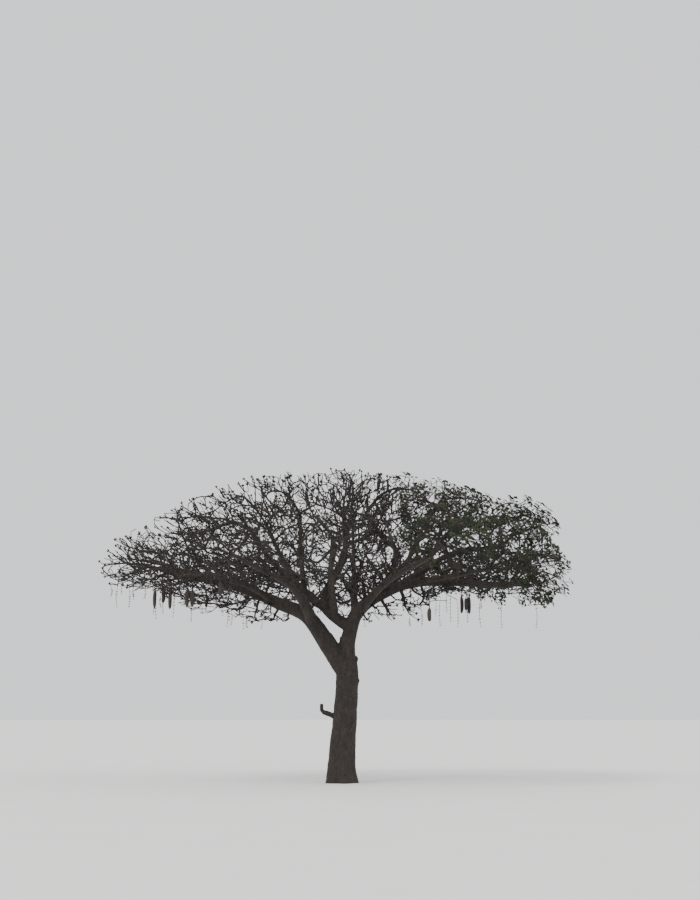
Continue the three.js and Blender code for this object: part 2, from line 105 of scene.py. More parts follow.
# Each limb: its parent, the share of the parent's length where it leaves, its radii at root and tip, its way
LIMBS = {
    "left_limb": (
        "left_arm", 1, (0.285, 0.085),
        [(-1.1, 0, 5.23), (-2, 0.06, 5.64), (-3.3, 0.12, 6.16), (-5.2, 0.15, 6.6)]
    ),
    "right_limb": (
        "right_arm", 1, (0.245, 0.095),
        [(0.5, 0, 5.32), (1.3, -0.04, 5.94), (2.6, -0.09, 6.33), (5, -0.15, 6.23)]
    ),
    "centre_bough": (
        "right_limb", 0.08, (0.19, 0.07),
        [(-0.52, -0.06, 5.51), (-0.33, -0.06, 6.33), (0.1, 0.04, 7.15), (0.09, 0.1, 8.25)]
    ),
    "left_crest_bough": (
        "centre_bough", 0.24, (0.125, 0.07), [(-1.5, 0.12, 6.33), (-2.23, 0.1, 6.98), (-2.75, 0.04, 7.7)]
    ),
    "centre_left_bough": ("left_crest_bough", 0.3, (0.098, 0.06), [(-1.3, 0.06, 7.05), (-1.35, 0.04, 8.2)]),
    "left_rear_bough": ("left_limb", 0.5, (0.108, 0.062), [(-3.5, 1.05, 6.33), (-4.5, 2.05, 6.6)]),
    "left_fore_bough": ("left_limb", 0.42, (0.108, 0.062), [(-3.05, -1.15, 6.15), (-4.4, -2.05, 6.38)]),
    "low_left_bough": ("left_limb", 0.34, (0.055, 0.032), [(-2.78, -0.19, 5.78), (-3.33, -0.25, 5.64)]),
    "rear_left_bough": ("left_limb", 0.1, (0.155, 0.07), [(-1.45, 1.85, 6.15), (-2.6, 3.85, 6.85)]),
    "rear_left_crest_bough": (
        "rear_left_bough", 0.45, (0.095, 0.058), [(-1.75, 2.15, 6.9), (-2.15, 2.35, 7.6)]
    ),
    "fore_left_bough": ("left_limb", 0.15, (0.155, 0.07), [(-1.5, -1.8, 5.98), (-2.55, -3.85, 6.45)]),
    "fore_left_crest_bough": (
        "fore_left_bough", 0.45, (0.095, 0.058), [(-1.85, -2.1, 6.9), (-2.15, -2.35, 7.55)]
    ),
    "rear_bough": ("right_limb", 0.16, (0.145, 0.07), [(0.35, 1.75, 6.15), (-0.1, 4.2, 6.95)]),
    "rear_crest_bough": ("rear_bough", 0.42, (0.095, 0.06), [(0.42, 2.25, 6.9), (0.4, 2.6, 7.6)]),
    "fore_bough": ("centre_bough", 0.16, (0.135, 0.068), [(-0.32, -1.75, 6.3), (-0.25, -4.15, 6.85)]),
    "fore_crest_bough": ("fore_bough", 0.4, (0.095, 0.06), [(0.05, -2.2, 6.95), (0.2, -2.55, 7.6)]),
    "right_crest_bough": (
        "right_limb", 0.36, (0.12, 0.064), [(1.8, 0.06, 7.25), (1.33, 0.08, 7.78), (1, 0.1, 8.3)]
    ),
    "rear_right_bough": ("right_limb", 0.25, (0.145, 0.07), [(1.6, 1.85, 6.22), (2.5, 3.85, 6.75)]),
    "rear_right_crest_bough": (
        "rear_right_bough", 0.42, (0.095, 0.058), [(2.05, 2.15, 6.85), (2.4, 2.25, 7.52)]
    ),
    "fore_right_bough": ("right_limb", 0.2, (0.145, 0.07), [(1.45, -1.8, 6.2), (2.5, -3.85, 6.65)]),
    "fore_right_crest_bough": (
        "fore_right_bough", 0.42, (0.095, 0.058), [(2.05, -2.1, 6.8), (2.4, -2.25, 7.5)]
    ),
    "right_high_bough": ("right_limb", 0.45, (0.125, 0.066), [(3.45, 0.12, 7.2), (4.85, 0.18, 7.48)]),
    "right_high_crest_bough": (
        "right_high_bough", 0.3, (0.08, 0.052), [(3.05, 0.06, 7.4), (3.2, 0.02, 7.9)]
    ),
    "right_rear_bough": ("right_limb", 0.56, (0.105, 0.062), [(3.75, 1.05, 6.45), (4.35, 1.95, 6.55)]),
    "right_fore_bough": ("right_limb", 0.52, (0.105, 0.062), [(3.55, -1.15, 6.43), (4.3, -2.05, 6.5)]),
}

# A limb's root swells by the collar, but stays thinner than its parent. The taper is its narrowing's power.
COLLAR = 1.4
COLLAR_LIMIT = 0.92
TAPER = 0.85
COARSE_SPACING = 0.65
FINE_SPACING = 0.12

# Each mass of twigs: its bough, its ellipsoid's centre and reach, and the share of its twigs that are in leaf
MASSES = {
    "left_end_twigs": ("left_limb", (-6.4, 0.15, 6.9), (1.43, 1.5, 0.98), 0),
    "left_rear_twigs": ("left_rear_bough", (-5.45, 2.9, 7), (1.6, 1.6, 1.05), 0),
    "left_fore_twigs": ("left_fore_bough", (-5.45, -2.9, 6.65), (1.6, 1.6, 1.05), 0),
    "left_crest_twigs": ("left_crest_bough", (-4.15, 0, 8.05), (1.6, 1.6, 1.08), 0),
    "low_left_twigs": ("low_left_bough", (-4.2, -0.25, 5.72), (1.08, 0.7, 0.42), 0),
    "rear_left_twigs": ("rear_left_bough", (-3.3, 4.9, 7.3), (1.65, 1.5, 1.05), 0),
    "rear_left_crest_twigs": ("rear_left_crest_bough", (-2.5, 2.7, 8.4), (1.55, 1.5, 1.05), 0),
    "fore_left_twigs": ("fore_left_bough", (-3.3, -4.9, 6.75), (1.65, 1.5, 1.05), 0),
    "fore_left_crest_twigs": ("fore_left_crest_bough", (-2.55, -2.7, 8.3), (1.55, 1.5, 1.05), 0),
    "centre_left_twigs": ("centre_left_bough", (-1.55, 0, 8.95), (1.5, 1.5, 1), 0),
    "centre_twigs": ("centre_bough", (0.15, 0.1, 9.05), (1.3, 1.5, 0.97), 0),
    "rear_twigs": ("rear_bough", (-0.1, 5.2, 7.4), (1.65, 1.4, 1.05), 0),
    "rear_crest_twigs": ("rear_crest_bough", (0.35, 2.95, 8.45), (1.65, 1.5, 1.1), 0),
    "fore_twigs": ("fore_bough", (-0.2, -5.15, 7.25), (1.65, 1.4, 1.05), 0),
    "fore_crest_twigs": ("fore_crest_bough", (0.25, -2.95, 8.4), (1.65, 1.5, 1.1), 0),
    "right_crest_twigs": ("right_crest_bough", (1.75, 0.1, 8.9), (1.45, 1.5, 1), 0.4),
    "rear_right_foliage": ("rear_right_bough", (3.15, 4.8, 7.2), (1.65, 1.5, 1.05), 0.8),
    "rear_right_crest_foliage": ("rear_right_crest_bough", (2.9, 2.6, 8.25), (1.55, 1.5, 1.05), 0.7),
    "fore_right_foliage": ("fore_right_bough", (3.15, -4.8, 7.1), (1.65, 1.5, 1.05), 0.8),
    "fore_right_crest_foliage": ("fore_right_crest_bough", (2.95, -2.6, 8.15), (1.55, 1.5, 1.05), 0.7),
    "right_high_foliage": ("right_high_bough", (5.45, 0.2, 8.12), (1.55, 1.5, 1.04), 1),
    "right_high_crest_foliage": ("right_high_crest_bough", (3.7, 0, 8.48), (1.45, 1.5, 0.95), 0.8),
    "right_rear_foliage": ("right_rear_bough", (5.2, 2.8, 6.9), (1.6, 1.5, 1.15), 1),
    "right_fore_foliage": ("right_fore_bough", (5.15, -2.85, 6.85), (1.6, 1.5, 1.15), 1),
    "right_end_foliage": ("right_limb", (6.08, -0.1, 6.55), (1.35, 1.5, 1.12), 1),
}
CENTRES = np.array([row[1] for row in MASSES.values()], float)
REACHES = np.array([row[2] for row in MASSES.values()], float)
ZONES = ("left", "middle", "right")
ZONE_EDGE = 2.4

# Each fruit: its mass, the point that it hangs from, its stalk and its own length
FRUIT = [
    ("left_end_twigs", (-5.98, -0.3, 6.42), 0.36, 0.59),
    ("left_end_twigs", (-5.79, 0.25, 6.4), 0.31, 0.42),
    ("left_end_twigs", (-5.53, 0, 6.4), 0.35, 0.59),
    ("left_fore_twigs", (-4.66, -2.7, 6.25), 0.38, 0.54),
    ("left_fore_twigs", (-4.48, -2.95, 6.3), 0.46, 0.52),
    ("fore_left_twigs", (-3.52, -4.3, 6.45), 0.48, 0.44),
    ("right_rear_foliage", (4.08, 2.6, 6.25), 0.15, 0.6),
    ("right_rear_foliage", (4.22, 2.45, 6.2), 0.19, 0.42),
    ("right_rear_foliage", (4.34, 2.6, 6.25), 0.16, 0.61),
    ("fore_right_foliage", (2.6, -4.3, 6.25), 1.06, 0.4),
]

# How twigs grow: their step, their gap to others, how they turn outwards and upwards, and the least cosine of
# a bend and of a last twig's turn. Then the gap to limbs, the border to other masses and the mass's own skin.
UPWARD = 0.16
Rule = namedtuple(
    "Rule", "step clear outward upward bend turn limb_clear edge skin", defaults=(UPWARD, 0, 0, 0, 0, 1)
)
FIRST = Rule(0.6, 0.11, 0.35, bend=-1, turn=-0.5, limb_clear=0.09, edge=0.11)
SECOND = Rule(0.26, 0.08, 0.6, limb_clear=0.05, edge=0.02, skin=0.95)
THIRD = Rule(0.17, 0.05, 0.9, bend=0.2, turn=0.3, limb_clear=0.04, edge=0.01, skin=0.91)
INNER = Rule(0.24, 0.1, 0.5, bend=0.2)
BETWEEN = Rule(0.24, 0.1, 0.4, upward=0.08, bend=0.4, turn=0.4)
DROOPING = Rule(0.13, 0.05, 0.2, upward=-0.1, bend=0.2)
ONWARD = 0.4
WANDER = 0.1

# Room for joints at first, and the distance at which goals see a joint that can't grow
ROOM = 4096
FAR = 1e6

# Seeds: a mass adds its number to the first
MASS_SEED = 101
BETWEEN_SEED = 23
INNER_SEED = 71
DROOPING_SEED = 87
KNOB_SEED = 31
FRUIT_SEED = 53

# A mass's first twigs: the gap between bough and stem, the stem's share of a step, the goals at the rim and
# inside, how far these spread and how deep in the skin the others lie, and the parts of a smoothed twig
GAP = 0.0003
STEM_SHARE = 0.6
RIM_GOALS = 13
INNER_GOALS = 2
INNER_SPREAD = 1.1
RIM_INSET = 0.04
LEAFY_INSET = 0.378
SMOOTH_PARTS = 3

# Finer twigs: the volume of a mass that gets their usual number, the least share of that number, how much
# leaf thins out the third ones, and how their goals lie in the mass
USUAL_VOLUME = 2.4
LEAST_SIZE = 0.5
LEAF_THINNING = 0.35
SCATTER_REACH = 0.9
SCATTER_POWER = 0.3

# Short last twigs: how they spread, how short they are, and how much longer some are
Spur = namedtuple("Spur", "spread shortest extra")
TIP_SPUR = Spur(1.1, 0.16, 0.28)
SIDE_SPUR = Spur(2.2, 0.08, 0.14)

# The share of tips with one spur, the others having two, what turns a spur, how far out of its mass it may
# reach, and the shares of its length that are tried
SINGLE_SPURS = 0.45
SPUR_LIFT = 0.35
SPUR_ONWARD = 0.6
SPUR_OUTWARD = 1.2
SPUR_SKIN = 1.04
SPUR_TRIES = (1, 0.55)

# The crown's rounded outline, the open window at its heart, and its underside: heights by place from the left
UP = np.array([0, 0, 1.0])
CROWN_HEART = np.array([0, 0, 6.6])
CROWN_REACH = np.array([6.6, 5.6, 2.9])
FULL_REACH = np.array([7.1, 6.35, 3.14])
WINDOW = (-0.3, 7.05)
WINDOW_RADIUS = 0.5
UNDERSIDE = (
    [-7, -6.2, -5, -3.3, -2, -1.1, 0, 0.8, 1.3, 2, 3.3, 4.6, 5.4, 6.2, 7],
    [6.3, 5.95, 5.5, 5.35, 5.3, 5.15, 5.05, 5.5, 5.8, 5.95, 6, 5.9, 5.55, 5.4, 5.5],
)
UNDERSIDE_RISE = 0.16

# Denser places inside the crown: centre, reach and goals
CLUMPS = [
    ((0.5, 0, 6.25), (1.2, 1.2, 0.55), 240),
    ((1.2, 0, 7.8), (0.5, 1.5, 0.5), 150),
    ((-3.4, 0, 6.6), (1.7, 1.3, 0.45), 260),
    ((4.6, 0, 6.45), (1.3, 1.3, 0.35), 80),
]

# Between the masses: how deep in them twigs start and may still grow, the share of goals kept at each height,
# how far out goals lie, and how far they lie from the nearest root and from the limbs
MASS_SKIN = 0.97
ROOTED_SKIN = 0.9
ROOT_SKIN = 0.55
ROOT_SPACING = 4
HEIGHT_SHARES = ((5.6, 6.8, 9.4), (1, 0.6, 0.3))
BETWEEN_OUT = 0.5
BETWEEN_POWER = 0.7
INNER_POWER = 0.55
BETWEEN_RANGE = 1.5
INNER_RANGE = 1.3
LIMB_ROOT_SPACING = 3
CLUMP_CLEAR = 0.1
GOAL_CLEAR = 0.12

# Twigs that droop from each main limb: the shares of its length between which they start, how far out and
# down they set off, and how far their goals reach and spread out, back and down
DROOPING_LIMBS = [("right_limb", 0.2, 0.72), ("left_limb", 0.3, 0.62)]
DROOPING_OUT = 0.5
DROOPING_DOWN = 0.8
DROOPING_REACH = 0.2
DROOPING_REACH_EXTRA = 0.65
DROOPING_SWING = 1.6
DROOPING_BACK = 0.4
DROOPING_FALL = 0.9
DROOPING_GOALS = 9
DROOPING_FLOOR = 5.05
DROOPING_SPURS = 0.35

# Between the masses the share of leaf grows from left to right, and a twig thickens by this power of its tips
LEAF_FROM = 1.2
LEAF_OVER = 2.5
LEAF_MOST = 0.9
LOOSE_POWER = 0.52

# Limbs

SAMPLES = np.linspace(0, 1, 201)
Lines = namedtuple("Lines", "coarse fine")


def portion(value, start, span):
    """How far a value has come through a span, from zero to one."""
    return min(max((value - start) / span, 0), 1)


class Route:
    """A smooth line through points, read by the share of its length."""

    def __init__(self, points):
        inner = np.array(points, float)
        self.points = np.vstack([2 * inner[0] - inner[1], inner, 2 * inner[-1] - inner[-2]])
        self.spans = len(inner) - 1
        steps = np.diff([self.curve(t) for t in SAMPLES], axis=0)
        self.lengths = np.concatenate([[0], np.cumsum(np.linalg.norm(steps, axis=1))])
        self.length = self.lengths[-1]

    def curve(self, t):
        at = t * self.spans
        span = min(int(at), self.spans - 1)
        u = at - span
        before, start, end, after = self.points[span : span + 4]
        leave, arrive = (end - before) / 2, (after - start) / 2
        cubic = (2 * start - 2 * end + leave + arrive) * u**3
        square = (-3 * start + 3 * end - 2 * leave - arrive) * u**2
        return cubic + square + leave * u + start

    def at(self, share):
        return self.curve(np.interp(share * self.length, self.lengths, SAMPLES))


def limb_line(row, route, parent_line, spacing):
    """A limb's points and the radius at each: a swollen collar at the root, then an even taper."""
    parent, share, radii, _ = row
    shares = np.linspace(0, 1, max(3, math.ceil(route.length / spacing)) + 1)
    collar = 1
    if parent not in FORK:
        thickness = parent_line[1]
        there = np.interp(share * (len(thickness) - 1), range(len(thickness)), thickness)
        collar = min(COLLAR, COLLAR_LIMIT * there / radii[0])
    swell = 1 + (collar - 1) * np.exp(-shares * route.length / (2 * radii[0]))
    thickness = (radii[0] + (radii[1] - radii[0]) * shares**TAPER) * swell
    return np.array([route.at(share) for share in shares]), thickness


@functools.cache
def limb_plan():
    """Each limb's coarse line, as in the solids, and a finer one for the bark."""
    routes, coarse, fine = {}, {}, {}
    for name, row in LIMBS.items():
        parent, share = row[:2]
        if parent in FORK:
            start = np.array(FORK[parent][0]) * (1 - ARM_SHARE) + np.array(FORK[parent][1]) * ARM_SHARE
        else:
            start = routes[parent].at(share)
        routes[name] = Route([start, *row[3]])
        coarse[name] = limb_line(row, routes[name], coarse.get(parent), COARSE_SPACING)
        fine[name] = limb_line(row, routes[name], coarse.get(parent), FINE_SPACING)
    return Lines(coarse, fine)


@functools.cache
def limb_segments():
    """The starts, spans and radii of all limbs' straight pieces."""
    lines = limb_plan().coarse.values()
    starts = np.vstack([points[:-1] for points, _ in lines])
    ends = np.vstack([points[1:] for points, _ in lines])
    return starts, ends - starts, np.concatenate([radii[:-1] for _, radii in lines])


# Growth

WORD = 0xFFFFFFFF
COUNTER_STEP = 0x6D2B79F5
TINY = 1e-9
TINY_SQUARE = 1e-12


def seeded(seed):
    """A repeatable row of numbers from zero to one: a counter whose bits are mixed well."""
    state = seed

    def number():
        nonlocal state
        state = (state + COUNTER_STEP) & WORD
        mixed = ((state ^ (state >> 15)) * (1 | state)) & WORD
        mixed = ((mixed + (mixed ^ (mixed >> 7)) * (61 | mixed)) & WORD) ^ mixed
        return ((mixed ^ (mixed >> 14)) & WORD) / (WORD + 1)

    return number


def jitter(random):
    return np.array([random(), random(), random()]) - 0.5


def on_ball(random):
    """A point anywhere on a ball of radius one."""
    turn, z = random() * math.tau, random() * 2 - 1
    ring = math.sqrt(1 - z * z)
    return np.array([ring * math.cos(turn), ring * math.sin(turn), z])


def unit(vector):
    return vector / max(math.sqrt(vector @ vector), TINY)


def depths(at):
    """How deep a point lies in each mass: zero at its centre and one at its skin."""
    return np.sqrt((((at - CENTRES) / REACHES) ** 2).sum(axis=1))


def owned_by(index, edge, skin=1):
    """A mass owns what lies in its ellipsoid, and deeper in it than in any other's by more than a border."""

    def owns(at):
        deep = depths(at)
        own = deep[index]
        deep[index] = np.inf
        return own < skin and deep.min() > own + edge

    return owns


def clear_of_limbs(at, gap):
    starts, spans, radii = limb_segments()
    share = np.clip(((at - starts) * spans).sum(axis=1) / (spans**2).sum(axis=1), 0, 1)
    nearest = starts + spans * share[:, None]
    return bool((np.sqrt(((at - nearest) ** 2).sum(axis=1)) > radii + gap).all())


def segment_gaps(start, end, starts, ends):
    """The distance from one segment to each of several."""
    own, other = end - start, ends - starts
    away = start - starts
    a, e = own @ own, (other**2).sum(axis=1)
    b, c, f = other @ own, away @ own, (other * away).sum(axis=1)
    denominator = a * e - b * b
    nearest = (b * f - c * e) / np.maximum(denominator, TINY_SQUARE)
    s = np.clip(np.where(denominator > TINY_SQUARE, nearest, 0), 0, 1)
    t = (b * s + f) / np.maximum(e, TINY_SQUARE)
    s = np.where(t < 0, np.clip(-c / a, 0, 1), np.where(t > 1, np.clip((b - c) / a, 0, 1), s))
    t = np.clip(t, 0, 1)
    gap = (start + own * s[:, None]) - (starts + other * t[:, None])
    return np.sqrt((gap**2).sum(axis=1))


class Twigs:
    """Joints, each with its parent. A parent below zero marks a root."""

    def __init__(self, points, parents, headings=0):
        self.count = len(points)
        self.at = np.zeros((ROOM, 3))
        self.parent = np.full(ROOM, -1)
        self.heading = np.zeros((ROOM, 3))
        self.ended = np.zeros(ROOM, bool)
        self.at[: self.count] = points
        self.parent[: self.count] = parents
        self.heading[: self.count] = headings

    def add(self, at, parent, ended=False):
        if self.count == len(self.at):
            self.at = np.vstack([self.at, np.zeros_like(self.at)])
            self.parent = np.concatenate([self.parent, np.full_like(self.parent, -1)])
            self.heading = np.vstack([self.heading, np.zeros_like(self.heading)])
            self.ended = np.concatenate([self.ended, np.zeros_like(self.ended)])
        self.at[self.count] = at
        self.parent[self.count] = parent
        self.heading[self.count] = unit(at - self.at[parent])
        self.ended[self.count] = ended
        self.count += 1

    def clear(self, origin, end, gap):
        """A new twig keeps its distance from all twigs that don't meet it at its root."""
        at, parent = self.at[: self.count], self.parent[: self.count]
        meets = (parent < 0) | (parent == origin)
        meets[origin] = True
        if (((at[meets] - end) ** 2).sum(axis=1) <= gap * gap).any():
            return False
        others = ~meets
        near = (np.abs(at[others] - end) < 2 * FIRST.step).all(axis=1)
        ends = at[others][near]
        starts = self.at[parent[others][near]]
        return not len(ends) or bool((segment_gaps(self.at[origin], end, starts, ends) > gap).all())

    def nearest(self, goals, first):
        """For each goal the nearest joint from the first on that can grow, and its distance."""
        gaps = np.linalg.norm(goals[:, None] - self.at[None, first : self.count], axis=2)
        gaps += FAR * self.ended[first : self.count]
        return gaps.argmin(axis=1) + first, gaps.min(axis=1)

    def tips(self):
        """Whether each joint has no child."""
        parent = self.parent[: self.count]
        bare = np.ones(self.count, bool)
        bare[parent[parent >= 0]] = False
        return bare


def grow(twigs, goals, rule, random, fits, first=1):
    """Each goal pulls the joint nearest to it. A joint grows one step towards the mean of its pulls, and a
    goal within a step gets the last twig. A step out of the space or onto a limb or twig is skipped."""
    goals = np.array(goals, float).reshape(-1, 3)
    open_goals = list(range(len(goals)))
    if not open_goals:
        return
    nearest, distance = twigs.nearest(goals, first)
    while open_goals:
        pulls = {}
        for goal in open_goals:
            pulls.setdefault(int(nearest[goal]), []).append(goal)
        known = twigs.count
        open_goals = []
        for origin, pulling in pulls.items():
            open_goals += grow_from(twigs, origin, pulling, goals, rule, random, fits)
        if twigs.count > known and open_goals:
            still = np.array(open_goals)
            newest, gaps = twigs.nearest(goals[still], known)
            closer = gaps < distance[still]
            nearest[still[closer]] = newest[closer]
            distance[still[closer]] = gaps[closer]


def grow_from(twigs, origin, pulling, goals, rule, random, fits):
    """One turn of one joint. Gives back the goals that are still to be reached."""
    at, onward = twigs.at[origin].copy(), twigs.heading[origin]
    nearest, *others = sorted(pulling, key=lambda goal: ((goals[goal] - at) ** 2).sum())

    def has_room(end):
        return fits(end) and fits((end + at) / 2) and twigs.clear(origin, end, rule.clear)

    to_nearest = unit(goals[nearest] - at)
    if np.linalg.norm(goals[nearest] - at) <= rule.step:
        if to_nearest @ onward >= rule.turn and has_room(goals[nearest]):
            twigs.add(goals[nearest], origin, ended=True)
        return others
    outward = unit(at - CROWN_HEART) * rule.outward
    mean = unit(sum(unit(goals[goal] - at) for goal in pulling))
    for direction in (mean, to_nearest):
        direction = direction + onward * ONWARD + UP * rule.upward + outward
        direction = unit(direction + jitter(random) * 2 * WANDER)
        end = at + direction * rule.step
        if direction @ onward >= rule.bend and has_room(end):
            twigs.add(end, origin)
            return pulling
    return others


def first_goals(index, random, fits):
    """A goal for each fruit, others spread evenly near the skin from its outermost point on, some inside."""
    name = list(MASSES)[index]
    centre, reach = CENTRES[index], REACHES[index]
    goals = [np.array(row[1], float) for row in FRUIT if row[0] == name]
    golden = math.pi * (3 - math.sqrt(5))
    outward = unit(centre - CROWN_HEART)
    axis = np.cross([0, 0, 1], outward)
    w = 1 + outward[2]
    size = math.sqrt(axis @ axis + w * w)
    axis, w = axis / size, w / size
    inset = LEAFY_INSET if MASSES[name][3] else RIM_INSET
    for i in range(RIM_GOALS + INNER_GOALS):
        z = 1 - 2 * i / (RIM_GOALS - 1)
        ring = math.sqrt(max(0, 1 - z * z))
        rim = np.array([ring * math.cos(golden * i), ring * math.sin(golden * i), z])
        turned = np.cross(axis, rim)
        rim = rim + 2 * w * turned + 2 * np.cross(axis, turned)
        inside = jitter(random) * INNER_SPREAD
        goal = centre + (rim * (reach - inset) if i < RIM_GOALS else inside * reach)
        if fits(goal):
            goals.append(goal)
    return goals


def subdivided(twigs, parts):
    """The same twigs with more joints, on a smooth line through the old ones."""
    at, parent = twigs.at[: twigs.count], twigs.parent[: twigs.count]
    child = {}
    for i in range(1, twigs.count):
        child.setdefault(int(parent[i]), i)
    points, parents, index = [at[0]], [-1], {0: 0}
    for i in range(1, twigs.count):
        start, end = at[parent[i]], at[i]
        before = at[parent[parent[i]]] if parent[parent[i]] >= 0 else 2 * start - end
        after = at[child[i]] if i in child else 2 * end - start
        leave, arrive = (end - before) / 2, (after - start) / 2
        last = index[int(parent[i])]
        for part in range(1, parts + 1):
            u = part / parts
            point = (2 * u**3 - 3 * u**2 + 1) * start + (u**3 - 2 * u**2 + u) * leave
            points.append(point + (3 * u**2 - 2 * u**3) * end + (u**3 - u**2) * arrive)
            parents.append(last)
            last = len(points) - 1
        index[i] = last
    finer = Twigs(points, parents)
    steps = finer.at[1 : finer.count] - finer.at[finer.parent[1 : finer.count]]
    finer.heading[1 : finer.count] = steps / np.linalg.norm(steps, axis=1)[:, None]
    return finer


def scattered(centre, reach, count, random):
    """Points in an ellipsoid, more of them near its skin."""
    points = []
    for _ in range(count):
        rim = on_ball(random)
        points.append(centre + reach * (SCATTER_REACH * random() ** SCATTER_POWER) * rim)
    return points


def chains(twigs, radius_of):
    """Each twig runs on through the child that carries the most tips, and its other children start others."""
    count, parent = twigs.count, twigs.parent
    flow = np.zeros(count)
    children = [[] for _ in range(count)]
    for i in range(count - 1, -1, -1):
        if not children[i]:
            flow[i] = 1
        if parent[i] >= 0:
            flow[parent[i]] += flow[i]
            children[parent[i]].insert(0, i)
    starts = [(root, child) for root in range(count) if parent[root] < 0 for child in children[root]]
    made = []
    while starts:
        chain = list(starts.pop())
        while children[chain[-1]]:
            ranked = sorted(children[chain[-1]], key=lambda c: -flow[c])
            starts += [(chain[-1], side) for side in ranked[1:]]
            chain.append(ranked[0])
        thickness = np.array([radius_of(flow[i]) for i in chain])
        if parent[chain[0]] >= 0:
            thickness[0] = thickness[1]
        made.append((twigs.at[chain].copy(), thickness))
    return made


def add_spurs(twigs, fits, random, side_share):
    """Short last twigs that fan up and outwards from each tip, and here and there from the side of a twig."""
    bare = twigs.tips()
    for i in range(twigs.count):
        if twigs.parent[i] < 0:
            continue
        spur = TIP_SPUR if bare[i] else SIDE_SPUR
        chance = random()
        count = (1 if chance < SINGLE_SPURS else 2) if bare[i] else int(chance < side_share)
        outward = unit(twigs.at[i] - CROWN_HEART) + UP * SPUR_LIFT
        for _ in range(count):
            turn = jitter(random) * spur.spread
            direction = unit(twigs.heading[i] * SPUR_ONWARD + outward * SPUR_OUTWARD + turn)
            long = spur.shortest + spur.extra * random()
            for share in SPUR_TRIES:
                if fits(twigs.at[i] + direction * long * share):
                    twigs.add(twigs.at[i] + direction * long * share, i)
                    break


@functools.cache
def mass_twigs(index, second_goals, third_goals, side_share):
    """One mass's twigs: those of the solid, then two finer kinds that fill its space, then spurs."""
    bough, _, _, leafy = list(MASSES.values())[index]
    points, _ = limb_plan().coarse[bough]
    heading = unit(points[-1] - points[-2])
    root = points[-1] + heading * GAP
    random = seeded(MASS_SEED + index)

    def fits_with(rule):
        owns = owned_by(index, rule.edge, rule.skin)
        return lambda at: owns(at) and clear_of_limbs(at, rule.limb_clear)

    twigs = Twigs([root, root + heading * FIRST.step * STEM_SHARE], [-1, 0], [heading, heading])
    grow(twigs, first_goals(index, random, fits_with(FIRST)), FIRST, random, fits_with(FIRST))
    twigs = subdivided(twigs, SMOOTH_PARTS)
    size = max(float(np.prod(REACHES[index])) / USUAL_VOLUME, LEAST_SIZE)
    for rule, count in ((SECOND, second_goals), (THIRD, third_goals * (1 - LEAF_THINNING * leafy))):
        fits = fits_with(rule)
        cloud = scattered(CENTRES[index], REACHES[index], int(count * size), random)
        grow(twigs, [goal for goal in cloud if fits(goal)], rule, random, fits)
    add_spurs(twigs, owned_by(index, THIRD.edge, SPUR_SKIN), random, side_share)
    return twigs


# Twigs between the masses


def between_masses(at, reach):
    """Inside the crown's outline and over its underside, outside all masses and the window at its heart."""
    inside = (((at - CROWN_HEART) / reach) ** 2).sum() < 1
    beside = math.hypot(at[0] - WINDOW[0], at[2] - WINDOW[1]) >= WINDOW_RADIUS
    above = at[2] > np.interp(at[0], *UNDERSIDE) + UNDERSIDE_RISE * abs(at[1])
    return inside and beside and above and depths(at).min() > MASS_SKIN


def loose_twigs(roots, headings, goals, rule, random, fits, side_share, grows_in=None):
    """Twigs that grow from many roots at once, with their spurs."""
    twigs = Twigs(roots, [-1] * len(roots), headings)
    grow(twigs, goals, rule, random, grows_in or fits, first=0)
    add_spurs(twigs, fits, random, side_share)
    return twigs


@functools.cache
def between_twigs(goal_count, second_goals, third_goals, side_share):
    """Twigs that grow on from the masses' own and close the gaps between them, out to the crown's outline."""
    random = seeded(BETWEEN_SEED)
    roots, headings = [], []
    for index in range(len(MASSES)):
        twigs = mass_twigs(index, second_goals, third_goals, side_share)
        for i in range(2, twigs.count, ROOT_SPACING):
            if twigs.heading[i].any() and depths(twigs.at[i])[index] > ROOT_SKIN:
                roots.append(twigs.at[i])
                headings.append(twigs.heading[i])
    roots = np.array(roots)

    def fits(at):
        return between_masses(at, FULL_REACH)

    def grows_in(at):
        return fits(at) or depths(at).min() > ROOTED_SKIN

    goals = []
    while len(goals) < goal_count:
        far = BETWEEN_OUT + (1 - BETWEEN_OUT) * random() ** BETWEEN_POWER
        goal = CROWN_HEART + FULL_REACH * far * on_ball(random)
        wanted = random() < np.interp(goal[2], *HEIGHT_SHARES)
        near = wanted and fits(goal) and ((roots - goal) ** 2).sum(axis=1).min() < BETWEEN_RANGE**2
        if near and clear_of_limbs(goal, GOAL_CLEAR):
            goals.append(goal)
    return loose_twigs(roots, headings, goals, BETWEEN, random, fits, side_share, grows_in)


@functools.cache
def inner_twigs(goal_count, side_share):
    """Twigs from along the limbs that fill the crown between them."""
    random = seeded(INNER_SEED)
    roots, headings = [], []
    for points, _ in limb_plan().fine.values():
        for i in range(3, len(points) - 1, LIMB_ROOT_SPACING):
            roots.append(points[i])
            headings.append(unit(unit(points[i] - CROWN_HEART) + unit(points[i + 1] - points[i])))
    roots = np.array(roots)

    def fits(at):
        return between_masses(at, CROWN_REACH)

    goals = []
    for centre, reach, count in CLUMPS:
        for _ in range(count):
            goal = np.array(centre) + jitter(random) * 2 * reach
            if fits(goal) and clear_of_limbs(goal, CLUMP_CLEAR):
                goals.append(goal)
    while len(goals) < goal_count:
        far = random() ** INNER_POWER
        goal = CROWN_HEART + CROWN_REACH * far * on_ball(random)
        near = fits(goal) and ((roots - goal) ** 2).sum(axis=1).min() < INNER_RANGE**2
        if near and clear_of_limbs(goal, GOAL_CLEAR):
            goals.append(goal)
    return loose_twigs(roots, headings, goals, INNER, random, fits, side_share)


